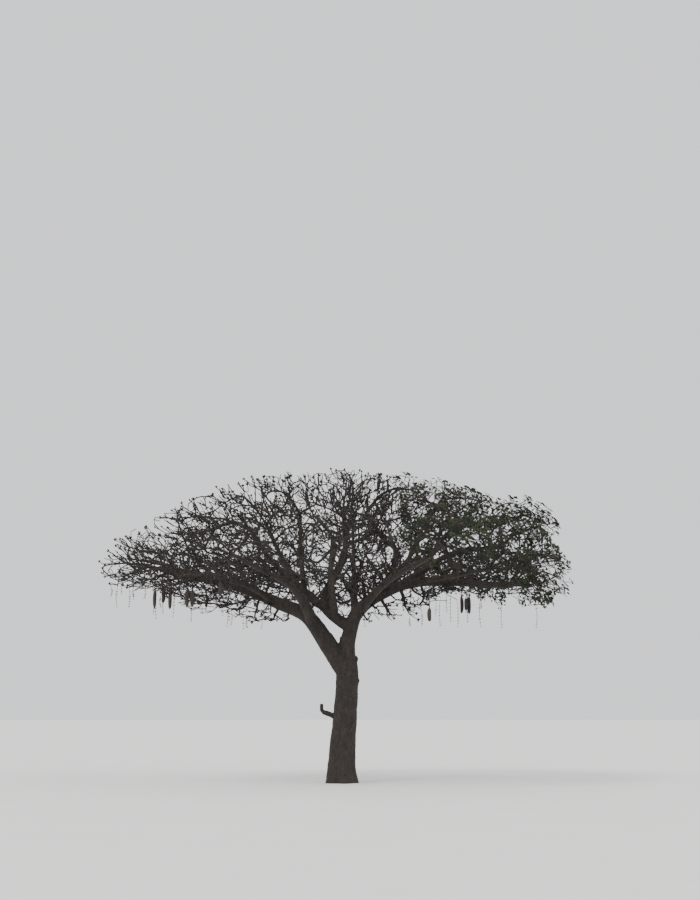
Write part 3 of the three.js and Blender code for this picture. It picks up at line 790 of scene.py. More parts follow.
@functools.cache
def drooping_twigs():
    """A few bare twigs that hang from the undersides of the two main limbs."""
    random = seeded(DROOPING_SEED)
    roots, headings, goals = [], [], []
    for name, first, last in DROOPING_LIMBS:
        points, radii = limb_plan().fine[name]
        for i in range(int(first * len(points)), int(last * len(points)), LIMB_ROOT_SPACING):
            hand = np.sign(points[i][0])
            side = (random() - 0.5) * DROOPING_SWING
            out = unit(np.array([DROOPING_OUT * hand, side, -DROOPING_DOWN]))
            roots.append(points[i] + out * radii[i] * 0.5)
            headings.append(out)
            for _ in range(DROOPING_GOALS):
                reach = DROOPING_REACH + DROOPING_REACH_EXTRA * random()
                forward = DROOPING_SWING * random() - DROOPING_BACK
                away = np.array([forward * hand, side + random() - 0.5, -DROOPING_FALL * random()])
                goals.append(points[i] + radii[i] * out + unit(away) * reach)

    def fits(at):
        return at[2] > DROOPING_FLOOR and depths(at).min() > 1

    return loose_twigs(roots, headings, goals, DROOPING, random, fits, DROOPING_SPURS)


def zone_at(x):
    return ZONES[int(x >= -ZONE_EDGE) + int(x >= ZONE_EDGE)]


def crown_twigs(settings):
    """All twigs: those of each mass with its zone, stem radius and share of leaf, and those between the
    masses, with None where it varies."""
    counts = settings.second_goals, settings.third_goals, settings.side_share
    rows = []
    for index, (bough, centre, _, leafy) in enumerate(MASSES.values()):
        stem = limb_plan().coarse[bough][1][-1]
        rows.append((mass_twigs(index, *counts), zone_at(centre[0]), stem, leafy))
    rows.append((inner_twigs(settings.inner_goals, settings.side_share), None, None, None))
    rows.append((between_twigs(settings.between_goals, *counts), None, None, None))
    rows.append((drooping_twigs(), None, None, 0))
    return rows


def crown_lines(settings, bark_limit):
    """All twigs as lines: the thick starts in the masses, which get bark, and the others by zone."""
    bark, zones = [], {zone: [] for zone in ZONES}
    tip = settings.tip_radius
    for twigs, zone, stem, _ in crown_twigs(settings):
        power = math.log(stem / tip) / math.log(int(twigs.tips().sum())) if stem else LOOSE_POWER
        for line, thickness in chains(twigs, lambda flow: tip * flow**power):
            thick = int((thickness >= bark_limit).sum()) if stem else 0
            if thick >= 2:
                bark.append((line[:thick], thickness[:thick]))
                line, thickness = line[thick - 1 :], thickness[thick - 1 :]
            if len(line) > 1:
                zones[zone or zone_at(line[-1][0])].append((line, thickness))
    return bark, zones


def crown_tips(settings):
    """Every tip with its way outwards and the share of leaf there."""
    rows = []
    for twigs, _, _, leafy in crown_twigs(settings):
        for i in np.flatnonzero(twigs.tips() & (twigs.parent[: twigs.count] >= 0)):
            share = min(portion(twigs.at[i][0], LEAF_FROM, LEAF_OVER), LEAF_MOST) if leafy is None else leafy
            rows.append((twigs.at[i].copy(), twigs.heading[i].copy(), share))
    return rows


# Meshes

PIECE_TRIANGLES = 200000


def mesh_of(name, points, faces):
    mesh = bpy.data.meshes.new(name)
    mesh.from_pydata([tuple(p) for p in points], [], faces)
    mesh.update()
    return mesh


def gathered(shapes):
    """Several shapes' points and faces as one."""
    points, faces = [], []
    for more, sides in shapes:
        faces += [tuple(i + len(points) for i in face) for face in sides]
        points += more
    return points, faces


def placed(name, data, material=None):
    """A new object of the scene."""
    obj = bpy.data.objects.new(name, data)
    bpy.context.scene.collection.objects.link(obj)
    if material:
        data.materials.append(material)
    return obj


def keep(mesh, name, kind, field, values):
    """Each point of the mesh keeps a value."""
    data = mesh.attributes.new(name, kind, "POINT").data
    data.foreach_set(field, np.array(values, np.float32).ravel())


def wire(name, lines):
    """Lines as a mesh of loose edges that keeps the radius at each point."""
    mesh = bpy.data.meshes.new(name)
    points = np.vstack([line for line, _ in lines])
    last = np.cumsum([len(line) for line, _ in lines]) - 1
    starts = np.setdiff1d(np.arange(len(points)), last)
    mesh.vertices.add(len(points))
    mesh.vertices.foreach_set("co", points.astype(np.float32).ravel())
    mesh.edges.add(len(starts))
    mesh.edges.foreach_set("vertices", np.column_stack([starts, starts + 1]).astype(np.int32).ravel())
    keep(mesh, "radius", "FLOAT", "value", np.concatenate([thickness for _, thickness in lines]))
    return placed(name, mesh)


def settle(obj):
    """Turns what the modifiers make into the piece's plain mesh."""
    graph = bpy.context.evaluated_depsgraph_get()
    mesh = bpy.data.meshes.new_from_object(obj.evaluated_get(graph))
    old, name = obj.data, obj.data.name
    obj.modifiers.clear()
    obj.data = mesh
    bpy.data.meshes.remove(old)
    mesh.name = name
    for label in ("radius", "heading", "size"):
        if label in mesh.attributes:
            mesh.attributes.remove(mesh.attributes[label])
    return obj


def triangles(obj):
    obj.data.calc_loop_triangles()
    return len(obj.data.loop_triangles)


def checked(obj):
    """Stops the build when a piece has too many triangles."""
    if triangles(obj) >= PIECE_TRIANGLES:
        raise RuntimeError(f"{obj.name} has {triangles(obj)} triangles, too many for one piece")
    return obj


def joined(name, parts):
    """Several plain pieces as one."""
    with bpy.context.temp_override(active_object=parts[0], selected_editable_objects=parts):
        bpy.ops.object.join()
    parts[0].name = parts[0].data.name = name
    return parts[0]


def seat(obj, nodes=()):
    """The piece rides on the tree and stands for nodes."""
    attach(obj, "root")
    if nodes:
        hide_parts(*nodes)


# Geometry Nodes

# How much copies vary in size, and what the seed of their sizes adds to that of their rolls
SIZE_SPREAD = 0.15
SIZE_SEED = 7.0

# The relief goes over from the trunk's kind to the limbs' kind between these heights
RELIEF_CHANGE = (2.6, 4.6)


class Nodes:
    """Nodes in the making, in a tree or a material."""

    def feed(self, socket, value):
        if isinstance(value, bpy.types.NodeSocket):
            self.group.links.new(value, socket)
        else:
            socket.default_value = value

    def node(self, kind, values=None, **settings):
        """Gives the outputs of a node whose sockets are set to values or joined to other nodes' outputs."""
        node = self.group.nodes.new(kind)
        for key, value in settings.items():
            setattr(node, key, value)
        for key, value in (values or {}).items():
            self.feed(node.inputs[key], value)
        return node.outputs

    def math(self, operation, a, b):
        return self.node("ShaderNodeMath", {0: a, 1: b}, operation=operation)[0]

    def noise(self, vector, scale, detail=4.0, roughness=0.55):
        values = {"Vector": vector, "Scale": scale, "Detail": detail, "Roughness": roughness}
        return self.node("ShaderNodeTexNoise", values)[0]


class Tree(Nodes):
    """A Geometry Nodes tree with named inputs, the last of them its material."""

    def __init__(self, name, *inputs):
        self.group = bpy.data.node_groups.new(name, "GeometryNodeTree")
        self.socket("Geometry", "Geometry")
        for label, kind, default in (*inputs, ("Material", "Material", None)):
            socket = self.socket(label, kind)
            if default is not None:
                socket.default_value = default
        self.socket("Geometry", "Geometry", "OUTPUT")
        self.inputs = self.group.nodes.new("NodeGroupInput").outputs

    def socket(self, label, kind, side="INPUT"):
        return self.group.interface.new_socket(label, in_out=side, socket_type=f"NodeSocket{kind}")

    def attribute(self, name, kind):
        return self.node("GeometryNodeInputNamedAttribute", {"Name": name}, data_type=kind)["Attribute"]

    def chance(self, low, high, seed):
        values = {"Min": low, "Max": high, "Seed": seed}
        return self.node("FunctionNodeRandomValue", values, data_type="FLOAT")["Value"]

    def finish(self, geometry, smooth=False):
        """Real geometry with its material goes out."""
        if smooth:
            geometry = self.node("GeometryNodeSetShadeSmooth", {"Geometry": geometry})["Geometry"]
        geometry = self.node("GeometryNodeRealizeInstances", {"Geometry": geometry})["Geometry"]
        values = {"Geometry": geometry, "Material": self.inputs["Material"]}
        geometry = self.node("GeometryNodeSetMaterial", values)["Geometry"]
        self.feed(self.group.nodes.new("NodeGroupOutput").inputs["Geometry"], geometry)
        return self.group


@functools.cache
def skin_tree():
    """Round skins along lines, as thick as each point's radius."""
    tree = Tree("Twig skin", ("Sides", "Int", 3), ("Thickness", "Float", 1.0))
    curve = tree.node("GeometryNodeMeshToCurve", {"Mesh": tree.inputs["Geometry"]})["Curve"]
    radius = tree.math("MULTIPLY", tree.attribute("radius", "FLOAT"), tree.inputs["Thickness"])
    values = {"Resolution": tree.inputs["Sides"], "Radius": 1.0}
    circle = tree.node("GeometryNodeCurvePrimitiveCircle", values)["Curve"]
    values = {"Curve": curve, "Profile Curve": circle, "Scale": radius, "Fill Caps": True}
    return tree.finish(tree.node("GeometryNodeCurveToMesh", values)["Mesh"], smooth=True)


@functools.cache
def deal_tree():
    """Copies of a shape, dealt out on points along their headings, each rolled and sized by a fixed seed."""
    inputs = [("Shape", "Object", None), ("Seed", "Int", 1), ("Size spread", "Float", SIZE_SPREAD)]
    tree = Tree("Deal out copies", *inputs)
    values = {"Vector": tree.attribute("heading", "FLOAT_VECTOR")}
    aligned = tree.node("FunctionNodeAlignRotationToVector", values, axis="Z")["Rotation"]
    roll = tree.chance(0.0, math.tau, tree.inputs["Seed"])
    turned = tree.node("FunctionNodeAxisAngleToRotation", {"Axis": (0, 0, 1), "Angle": roll})["Rotation"]
    values = {"Rotation": aligned, "Rotate By": turned}
    rotation = tree.node("FunctionNodeRotateRotation", values, rotation_space="LOCAL")["Rotation"]
    low = tree.math("SUBTRACT", 1.0, tree.inputs["Size spread"])
    high = tree.math("ADD", 1.0, tree.inputs["Size spread"])
    spread = tree.chance(low, high, tree.math("ADD", tree.inputs["Seed"], SIZE_SEED))
    size = tree.math("MULTIPLY", tree.attribute("size", "FLOAT"), spread)
    values = {"Object": tree.inputs["Shape"], "As Instance": True}
    shape = tree.node("GeometryNodeObjectInfo", values)["Geometry"]
    values = {"Points": tree.inputs["Geometry"], "Instance": shape, "Rotation": rotation, "Scale": size}
    return tree.finish(tree.node("GeometryNodeInstanceOnPoints", values)["Instances"])


@functools.cache
def relief_tree():
    """Bark relief: long furrows on the trunk and rounder lumps on the limbs, pushed along the normal."""
    tree = Tree(
        "Bark relief",
        ("Trunk depth", "Float", 0.03),
        ("Limb depth", "Float", 0.014),
        ("Furrow scale", "Float", 9.0),
        ("Lump scale", "Float", 3.2),
    )
    position = tree.node("GeometryNodeInputPosition")["Position"]
    height = tree.node("ShaderNodeSeparateXYZ", {"Vector": position})["Z"]
    values = {"Value": height, "From Min": RELIEF_CHANGE[0], "From Max": RELIEF_CHANGE[1]}
    to_limb = tree.node("ShaderNodeMapRange", values)["Result"]
    values = {0: position, 1: FURROW_STRETCH}
    stretched = tree.node("ShaderNodeVectorMath", values, operation="MULTIPLY")["Vector"]
    values = {"Factor": to_limb, "A": stretched, "B": position}
    along = tree.node("ShaderNodeMix", values, data_type="VECTOR")["Result"]
    furrow = tree.noise(along, tree.inputs["Furrow scale"], detail=4.0, roughness=0.62)
    lump = tree.noise(position, tree.inputs["Lump scale"], detail=2.0, roughness=0.5)
    middle = tree.math("SUBTRACT", tree.math("ADD", furrow, lump), 1.0)
    values = {"Value": to_limb, "To Min": tree.inputs["Trunk depth"], "To Max": tree.inputs["Limb depth"]}
    depth = tree.node("ShaderNodeMapRange", values)["Result"]
    push = tree.math("MULTIPLY", tree.math("MULTIPLY", middle, depth), 2.0)
    values = {0: tree.node("GeometryNodeInputNormal")["Normal"], "Scale": push}
    offset = tree.node("ShaderNodeVectorMath", values, operation="SCALE")["Vector"]
    values = {"Geometry": tree.inputs["Geometry"], "Offset": offset}
    return tree.finish(tree.node("GeometryNodeSetPosition", values)["Geometry"], smooth=True)


def use_tree(obj, group, **values):
    """Gives a piece the tree, with its inputs set by their identifiers."""
    modifier = obj.modifiers.new(group.name, "NODES")
    modifier.node_group = group
    for item in group.interface.items_tree:
        key = item.name.replace(" ", "_").lower()
        if item.in_out == "INPUT" and key in values:
            modifier[item.identifier] = values.pop(key)
    if values:
        raise ValueError(f"{group.name} has no inputs {sorted(values)}")


def skinned(name, lines, finish, sides, thickness=1.0):
    """Lines with a round skin."""
    obj = wire(name, lines)
    use_tree(obj, skin_tree(), sides=sides, thickness=thickness, material=finish)
    return settle(obj)


def dealt(name, shape, rows, finish, seed, spread=SIZE_SPREAD):
    """Copies of a shape, given as points and faces, on rows of point, heading and size."""
    points, headings, sizes = zip(*rows)
    mesh = bpy.data.meshes.new(name)
    mesh.vertices.add(len(points))
    mesh.vertices.foreach_set("co", np.array(points, np.float32).ravel())
    keep(mesh, "heading", "FLOAT_VECTOR", "vector", headings)
    keep(mesh, "size", "FLOAT", "value", sizes)
    obj = placed(name, mesh)
    pattern = bpy.data.objects.new(f"{name}_shape", mesh_of(f"{name}_shape", *shape))
    use_tree(obj, deal_tree(), shape=pattern, seed=seed, size_spread=spread, material=finish)
    checked(settle(obj))
    bpy.data.objects.remove(pattern)
    return obj


# Materials

BLACK = (0, 0, 0)
WHITE = (1, 1, 1)
FURROW_STRETCH = (1, 1, 0.22)
GRAIN_STRETCH = (1, 1, 0.4)
PLATE_STRETCH = (1, 1, 0.45)
STREAK_STRETCH = (1, 1, 0.25)


class Finish(Nodes):
    """A material in the making, on Object coordinates."""

    def __init__(self, name):
        self.material = bpy.data.materials.new(name)
        self.material.use_nodes = True
        self.group = self.material.node_tree
        self.shader = self.group.nodes["Principled BSDF"]
        self.place = self.node("ShaderNodeTexCoord")["Object"]

    def stretched(self, scale):
        return self.node("ShaderNodeMapping", {"Vector": self.place, "Scale": scale})["Vector"]

    def cells(self, vector, scale, feature="F1"):
        values = {"Vector": vector, "Scale": scale}
        return self.node("ShaderNodeTexVoronoi", values, feature=feature)["Distance"]

    def ramp(self, value, *stops):
        """Colours by value, from a few stops."""
        output = self.node("ShaderNodeValToRGB", {"Fac": value})["Color"]
        elements = output.node.color_ramp.elements
        while len(elements) < len(stops):
            elements.new(0.5)
        for element, (at, colour) in zip(elements, stops):
            element.position = at
            element.color = (*colour, 1)
        return output

    def mix(self, factor, a, b, blend="MIX"):
        values = {"Factor": factor, "A": a, "B": b}
        return self.node("ShaderNodeMix", values, data_type="RGBA", blend_type=blend)["Result"]

    def bump(self, height, distance, strength, under=None):
        values = {"Height": height, "Distance": distance, "Strength": strength}
        if under is not None:
            values["Normal"] = under
        return self.node("ShaderNodeBump", values)["Normal"]

    def done(self, colour, normal=None, *, roughness):
        for key, value in (("Base Color", colour), ("Normal", normal), ("Roughness", roughness)):
            if value is not None:
                self.feed(self.shader.inputs[key], value)
        return self.material


def shade(colour, factor):
    return tuple(min(1, c * factor) for c in colour)


def bark_finish(settings):
    """Old grey-brown bark: dark furrows, paler patches where thin flakes came off, and a little lichen."""
    f = Finish("Bark")
    base = tuple(settings.bark_colour)
    furrow = f.noise(f.stretched(FURROW_STRETCH), scale=9.0, detail=4.0, roughness=0.62)
    grain = f.noise(f.stretched(GRAIN_STRETCH), scale=34.0, detail=6.0, roughness=0.65)
    body = f.ramp(furrow, (0.32, shade(base, 0.42)), (0.47, shade(base, 0.9)), (0.66, shade(base, 1.45)))
    body = f.mix(0.45, body, f.ramp(grain, (0.3, shade(base, 0.5)), (0.7, shade(base, 1.6))))
    patches = f.noise(f.place, scale=3.4, detail=5.0, roughness=0.7)
    flakes = f.ramp(patches, (0.54, BLACK), (0.6, WHITE))
    body = f.mix(f.math("MULTIPLY", flakes, 0.5), body, (*settings.flake_colour, 1))
    crusts = f.noise(f.place, scale=7.5, detail=8.0, roughness=0.75)
    lichen = f.ramp(crusts, (0.63, BLACK), (0.67, WHITE))
    body = f.mix(f.math("MULTIPLY", lichen, 0.45), body, (*settings.lichen_colour, 1))
    plates = f.cells(f.stretched(PLATE_STRETCH), scale=11.0, feature="DISTANCE_TO_EDGE")
    body = f.mix(0.5, body, f.ramp(plates, (0.0, BLACK), (0.09, WHITE)), "MULTIPLY")
    normal = f.bump(plates, distance=0.02, strength=0.5)
    normal = f.bump(furrow, distance=0.03, strength=0.6, under=normal)
    normal = f.bump(grain, distance=0.006, strength=0.7, under=normal)
    rough = f.ramp(grain, (0.3, shade(WHITE, 0.82)), (0.7, shade(WHITE, 0.97)))
    return f.done(body, normal, roughness=rough)


def twig_finish(settings):
    """Young bark: grey-brown with paler lengths and small pores."""
    f = Finish("Twig bark")
    base = tuple(settings.twig_colour)
    lengths = f.noise(f.place, scale=1.7, detail=3.0)
    pores = f.noise(f.place, scale=60.0, detail=3.0, roughness=0.6)
    body = f.ramp(lengths, (0.35, shade(base, 0.62)), (0.5, base), (0.66, shade(base, 1.4)))
    body = f.mix(0.35, body, f.ramp(pores, (0.35, shade(base, 0.5)), (0.65, shade(base, 1.5))))
    return f.done(body, f.bump(pores, distance=0.004, strength=0.6), roughness=0.85)


def leaf_finish(name, colour):
    """One plain leaf green with a soft waxy gloss."""
    f = Finish(name)
    f.shader.inputs["Specular IOR Level"].default_value = 0.25
    return f.done((*colour, 1), roughness=0.6)


def fruit_finish(settings):
    """Grey-brown, woody and dull, darkened all over with painted shade, with pale corky pores and darker
    streaks.
    """
    f = Finish("Fruit skin")
    # The skin's grey-brown, darkened all over with painted shade
    base = tuple(settings.fruit_colour_with_painted_shade)
    streaks = f.noise(f.stretched(STREAK_STRETCH), scale=14.0, detail=4.0, roughness=0.6)
    pores = f.cells(f.place, scale=55.0)
    body = f.ramp(streaks, (0.3, shade(base, 0.6)), (0.52, base), (0.72, shade(base, 1.35)))
    specks = f.math("MULTIPLY", f.ramp(pores, (0.1, WHITE), (0.2, BLACK)), 0.55)
    body = f.mix(specks, body, (*shade(base, 2.1), 1))
    normal = f.bump(pores, distance=0.003, strength=0.6)
    normal = f.bump(streaks, distance=0.006, strength=0.5, under=normal)
    return f.done(body, normal, roughness=0.72)


def bud_finish(settings):
    """Dry buds and bud scales, a warmer brown than the twigs."""
    f = Finish("Bud scales")
    base = tuple(settings.bud_colour)
    patches = f.noise(f.place, scale=9.0, detail=3.0)
    body = f.ramp(patches, (0.35, shade(base, 0.6)), (0.65, shade(base, 1.35)))
    scales = f.noise(f.place, scale=70.0, detail=2.0)
    return f.done(body, f.bump(scales, distance=0.003, strength=0.5), roughness=0.8)


def floor_finish(settings):
    """Pale matt floor with the faintest mottling."""
    f = Finish("Pale floor")
    base = tuple(settings.floor_colour)
    mottling = f.noise(f.place, scale=0.6, detail=3.0)
    body = f.ramp(mottling, (0.3, shade(base, 0.985)), (0.7, shade(base, 1.015)))
    return f.done(body, roughness=0.9)


# Sizes and colours that can be changed


def colour_setting(name, description, default):
    return FloatVectorProperty(
        name=name, description=description, subtype="COLOR", size=3, min=0, max=1, default=default
    )


def length_setting(name, description, default):
    return FloatProperty(
        name=name, description=description, default=default, min=0, unit="LENGTH", precision=4
    )


def share_setting(name, description, default):
    return FloatProperty(name=name, description=description, default=default, min=0, max=1, subtype="FACTOR")


def amount_setting(name, description, default):
    return FloatProperty(name=name, description=description, default=default, min=0)


def count_setting(name, description, default):
    return IntProperty(name=name, description=description, default=default, min=0)


class BarkSettings(bpy.types.PropertyGroup):
    voxel: length_setting("Voxel", "Grid size at which trunk and limbs grow together", 0.022)
    trunk_depth: length_setting("Trunk relief", "Depth of the furrows on the trunk", 0.026)
    limb_depth: length_setting("Limb relief", "Depth of the lumps on the limbs", 0.012)
    furrow_scale: amount_setting("Furrow scale", "How close the furrows stand", 9)
    lump_scale: amount_setting("Lump scale", "How close the lumps stand", 3.2)
    seam_height: length_setting("Seam height", "Height where the trunk's piece meets the limbs'", 3.88)
    bark_limit: length_setting("Thinnest bark", "Radius from which a twig gets the bark's skin", 0.03)
    bark_colour: colour_setting("Bark", "Colour of the old bark", (0.026, 0.02, 0.016))
    flake_colour: colour_setting("Flaked bark", "Colour where flakes have come off", (0.046, 0.036, 0.029))
    lichen_colour: colour_setting("Lichen", "Colour of the lichen", (0.062, 0.061, 0.05))


class TwigSettings(bpy.types.PropertyGroup):
    second_goals: count_setting("Second twigs", "Goals of the second twigs in one mass", 80)
    third_goals: count_setting("Third twigs", "Goals of the third twigs in one mass", 62)
    inner_goals: count_setting("Inner twigs", "Goals of the twigs between the limbs", 1100)
    between_goals: count_setting("Twigs between", "Goals of the twigs between the masses", 2000)
    side_share: share_setting("Side spurs", "Share of twig joints with a spur", 0.28)
    tip_radius: length_setting("Tip radius", "Radius of the thinnest twigs", 0.0105)
    twig_colour: colour_setting("Twigs", "Colour of the young bark", (0.019, 0.0145, 0.0115))
    knob_share: share_setting("Knobs", "Share of bare tips that end in a knob of buds", 0.34)
    knob_size: length_setting("Knob size", "Length of a knob of buds", 0.095)
    bud_colour: colour_setting("Buds", "Colour of dry buds", (0.024, 0.0165, 0.0115))


class LeafSettings(bpy.types.PropertyGroup):
    spray_size: length_setting("Spray size", "Reach of one spray of leaves from its twig", 0.128)
    seed: count_setting("Seed", "Which sprays get which shape, size and colour", 5)
    dark: colour_setting("Dark leaves", "Colour of a quarter of the sprays", (0.014, 0.02, 0.009))
    olive: colour_setting("Olive leaves", "Colour of a quarter of the sprays", (0.026, 0.03, 0.012))
    green: colour_setting("Green leaves", "Colour of a quarter of the sprays", (0.02, 0.032, 0.013))
    bronze: colour_setting("Bronze leaves", "Colour of a quarter of the sprays", (0.034, 0.028, 0.014))


class FruitSettings(bpy.types.PropertyGroup):
    radius: length_setting("Radius", "Radius of a fruit at its thickest", 0.062)
    stalk_radius: length_setting("Stalk radius", "Radius of a fruit's stalk", 0.011)
    # The fruit's grey-brown, darkened all over with painted shade
    fruit_colour_with_painted_shade: colour_setting("Fruit", "Colour of the fruit's skin", (0.028, 0.0215, 0.016))
    stalk_count: count_setting("Hanging stalks", "Bare flower stalks that hang under the crown", 70)


class StageSettings(bpy.types.PropertyGroup):
    floor_size: length_setting("Floor", "Width of the round floor", 800)
    floor_colour: colour_setting("Floor colour", "Colour of the floor", (0.8, 0.78, 0.75))
    sky_colour: colour_setting("Sky colour", "Colour of the soft light all round", (0.86, 0.87, 0.9))
    sky_strength: amount_setting("Sky strength", "Strength of the light all round", 1.3)
    key_strength: amount_setting("Key strength", "Strength of the main light", 2.0)


# Trunk and limbs

ARM_POINTS = 9
BROKEN_POINTS = 10
ROUNDING = 0.001
LIMB_SIDES = 18
LIMB_SWELL = 1.02
SEAM_OVERLAP = 0.02
BARK_TRIANGLES = 190000
RELIEF_SIZES = ("trunk_depth", "limb_depth", "furrow_scale", "lump_scale")


def lathe(rings):
    """A closed skin over rings of points."""
    sides = len(rings[0])
    faces = []
    for foot in range(0, (len(rings) - 1) * sides, sides):
        for j in range(sides):
            k = (j + 1) % sides
            faces.append((foot + j, foot + k, foot + sides + k, foot + sides + j))
    faces.append(tuple(reversed(range(sides))))
    faces.append(tuple(range((len(rings) - 1) * sides, len(rings) * sides)))
    return [tuple(p) for ring in rings for p in ring], faces


def trunk_rings():
    """The trunk from below the ground to the fork: it leans, has low lobes at its foot and a narrower top."""
    turns = np.linspace(0, math.tau, TRUNK_SIDES, endpoint=False)
    rings = []
    for z in np.arange(-BURIED, TRUNK_TOP + ROUNDING, TRUNK_STEP):
        up = max(z, 0)
        share = portion(up, LEAN_FROM, LEAN_OVER)
        middle = LEAN * share * share * (3 - 2 * share)
        radius = FOOT_RADIUS + (NECK_RADIUS - FOOT_RADIUS) * portion(up, 0, NECK_HEIGHT)
        radius *= 1 - NARROWING * portion(up, NARROWING_FROM, NARROWING_OVER)
        flare = math.exp(-up / FLARE_HEIGHT)
        lobes = 1 + LOBE_DEPTH * flare * np.cos(FLARE_LOBES * turns)
        nearness = math.exp(-(((up - SHOULDER_HEIGHT) / SHOULDER_SPREAD) ** 2))
        shoulder = SHOULDER * nearness * np.maximum(np.cos(turns), 0)
        reach = (radius + FLARE * flare) * lobes + BARK + shoulder
        x, y = middle + reach * np.cos(turns), reach * np.sin(turns)
        rings.append(np.column_stack([x, y, np.full_like(turns, z)]))
    return rings


def arm_line(start, end, radii):
    shares = np.linspace(0, 1, ARM_POINTS)
    start, end = np.array(start), np.array(end)
    return start + (end - start) * shares[:, None], radii[0] + (radii[1] - radii[0]) * shares


def broken_line():
    route, shares = Route(BROKEN_LIMB), np.linspace(0, 1, BROKEN_POINTS)
    thickness = BROKEN_RADII[0] + (BROKEN_RADII[1] - BROKEN_RADII[0]) * shares
    return np.array([route.at(share) for share in shares]), thickness * BROKEN_SWELL


class SAUSAGETREE_OT_bark(bpy.types.Operator):
    """Grows trunk, arms and limbs together into one skin with bark relief"""

    bl_idname = "sausage_tree.bark"
    bl_label = "Trunk and limbs"

    def execute(self, context):
        settings = context.scene.tree_bark
        finish = bark_finish(settings)
        lines = [arm_line(*row) for row in FORK.values()] + [*limb_plan().fine.values(), broken_line()]
        thick_twigs, _ = crown_lines(context.scene.tree_twigs, settings.bark_limit)
        parts = [skinned("limbs", lines + thick_twigs, finish, LIMB_SIDES, LIMB_SWELL)]
        parts.append(placed("trunk_core", mesh_of("trunk_core", *lathe(trunk_rings()))))
        for at in BURLS:
            bpy.ops.mesh.primitive_ico_sphere_add(
                subdivisions=3, radius=BURL_RADIUS, location=at, scale=BURL_SCALE
            )
            bpy.ops.object.transform_apply(location=True, rotation=False, scale=True)
            parts.append(context.active_object)
        whole = joined("limbs", parts)
        remesh = whole.modifiers.new("Grow together", "REMESH")
        remesh.mode = "VOXEL"
        remesh.voxel_size = settings.voxel
        smooth = whole.modifiers.new("Soften", "SMOOTH")
        smooth.factor = 0.5
        smooth.iterations = 3
        settle(whole)
        low, high = settings.seam_height - SEAM_OVERLAP, settings.seam_height + SEAM_OVERLAP
        seat(self.part(whole, "trunk_bark", None, high, settings, finish), ["trunk", "broken_limb"])
        seat(self.part(whole, "limb_bark", low, None, settings, finish), list(LIMBS))
        bpy.data.objects.remove(whole)
        return {"FINISHED"}

    def part(self, whole, name, low, high, settings, finish):
        """The skin's part between two heights, in relief. The trunk's is finer and ends at the ground."""
        obj = placed(name, bpy.data.meshes.new(name))
        trim(whole.data, obj.data, low, high)
        if low is None:
            finer = obj.modifiers.new("Finer", "SUBSURF")
            finer.levels = finer.render_levels = 1
        sizes = {key: getattr(settings, key) for key in RELIEF_SIZES}
        use_tree(obj, relief_tree(), material=finish, **sizes)
        settle(obj)
        fewer = obj.modifiers.new("Fewer", "DECIMATE")
        fewer.ratio = min(1, BARK_TRIANGLES / triangles(obj))
        settle(obj)
        if low is None:
            trim(obj.data, obj.data, 0, None)
        return checked(obj)


def trim(source, target, low, high):
    """Writes what lies between two heights into a mesh, closed at its cuts and without loose crumbs."""
    work = bmesh.new()
    work.from_mesh(source)
    for height, outward in ((high, 1), (low, -1)):
        if height is not None:
            cut(work, height, outward)
    keep_largest(work)
    work.to_mesh(target)
    work.free()


def cut(work, height, outward):
    """Cuts away what lies beyond a height and closes the cut."""
    geometry = work.verts[:] + work.edges[:] + work.faces[:]
    made = bmesh.ops.bisect_plane(
        work, geom=geometry, plane_co=(0, 0, height), plane_no=(0, 0, outward), clear_outer=True
    )
    rim = [item for item in made["geom_cut"] if isinstance(item, bmesh.types.BMEdge)]
    bmesh.ops.holes_fill(work, edges=rim, sides=0)
    bmesh.ops.triangulate(work, faces=[face for face in work.faces if len(face.verts) > 4])


def keep_largest(work):
    """Drops all loose crumbs and keeps the largest body."""
    left, bodies = set(work.verts), []
    while left:
        body, front = set(), [left.pop()]
        while front:
            vert = front.pop()
            body.add(vert)
            for edge in vert.link_edges:
                other = edge.other_vert(vert)
                if other in left:
                    left.remove(other)
                    front.append(other)
        bodies.append(body)
    bodies.sort(key=len)
    crumbs = [vert for body in bodies[:-1] for vert in body]
    bmesh.ops.delete(work, geom=crumbs, context="VERTS")


# Twigs and knobs of buds

# Skins by a line's greatest radius: from which radius, how many sides, and how much wider to look as thick
SKINS = [(0.024, 6, 1.0), (0.0135, 4, 1.1), (0, 3, 1.2)]

# Buds side by side: where they start, where along them they are widest, and each one's end and width
KNOB = ((0, 0, -0.1), 0.62, [((0.05, 0, 1), 0.3), ((0.62, 0.3, 0.72), 0.22), ((-0.5, 0.42, 0.62), 0.2)])
BUD_PAIR = ((0, 0, 0.1), 0.7, [((0.75, 0.05, -0.75), 0.24), ((-0.75, -0.05, -0.7), 0.24)])
KNOB_LIFT = 0.4
KNOB_LEAST = 0.7
KNOB_EXTRA = 0.5
KNOB_DEAL_SEED = 3

# A bud is steep from this share of height, and its sides are set off from a way that crosses its own
STEEP = 0.9
ACROSS = (0.3, 0.1, 1.0)
ACROSS_STEEP = (1, 0.1, 0)


def bud(start, end, width, widest):
    """A small closed spindle of eight triangles."""
    start, end = np.array(start, float), np.array(end, float)
    along = unit(end - start)
    side = unit(np.cross(along, ACROSS if abs(along[2]) < STEEP else ACROSS_STEEP))
    other = np.cross(along, side)
    waist = start + (end - start) * widest
    ring = [waist + side * width, waist + other * width, waist - side * width, waist - other * width]
    faces = [(0, 2, 1), (0, 3, 2), (0, 4, 3), (0, 1, 4), (5, 1, 2), (5, 2, 3), (5, 3, 4), (5, 4, 1)]
    return [start, *ring, end], faces


def buds(start, widest, ends):
    return gathered([bud(start, end, width, widest) for end, width in ends])


def sized_skins(name, lines, finish):
    """Skins for lines, with more sides where they are thick."""
    parts = []
    for limit, sides, thickness in SKINS:
        here = [line for line in lines if line[1].max() >= limit]
        lines = [line for line in lines if line[1].max() < limit]
        if here:
            parts.append(skinned(name, here, finish, sides, thickness))
    return checked(joined(name, parts))


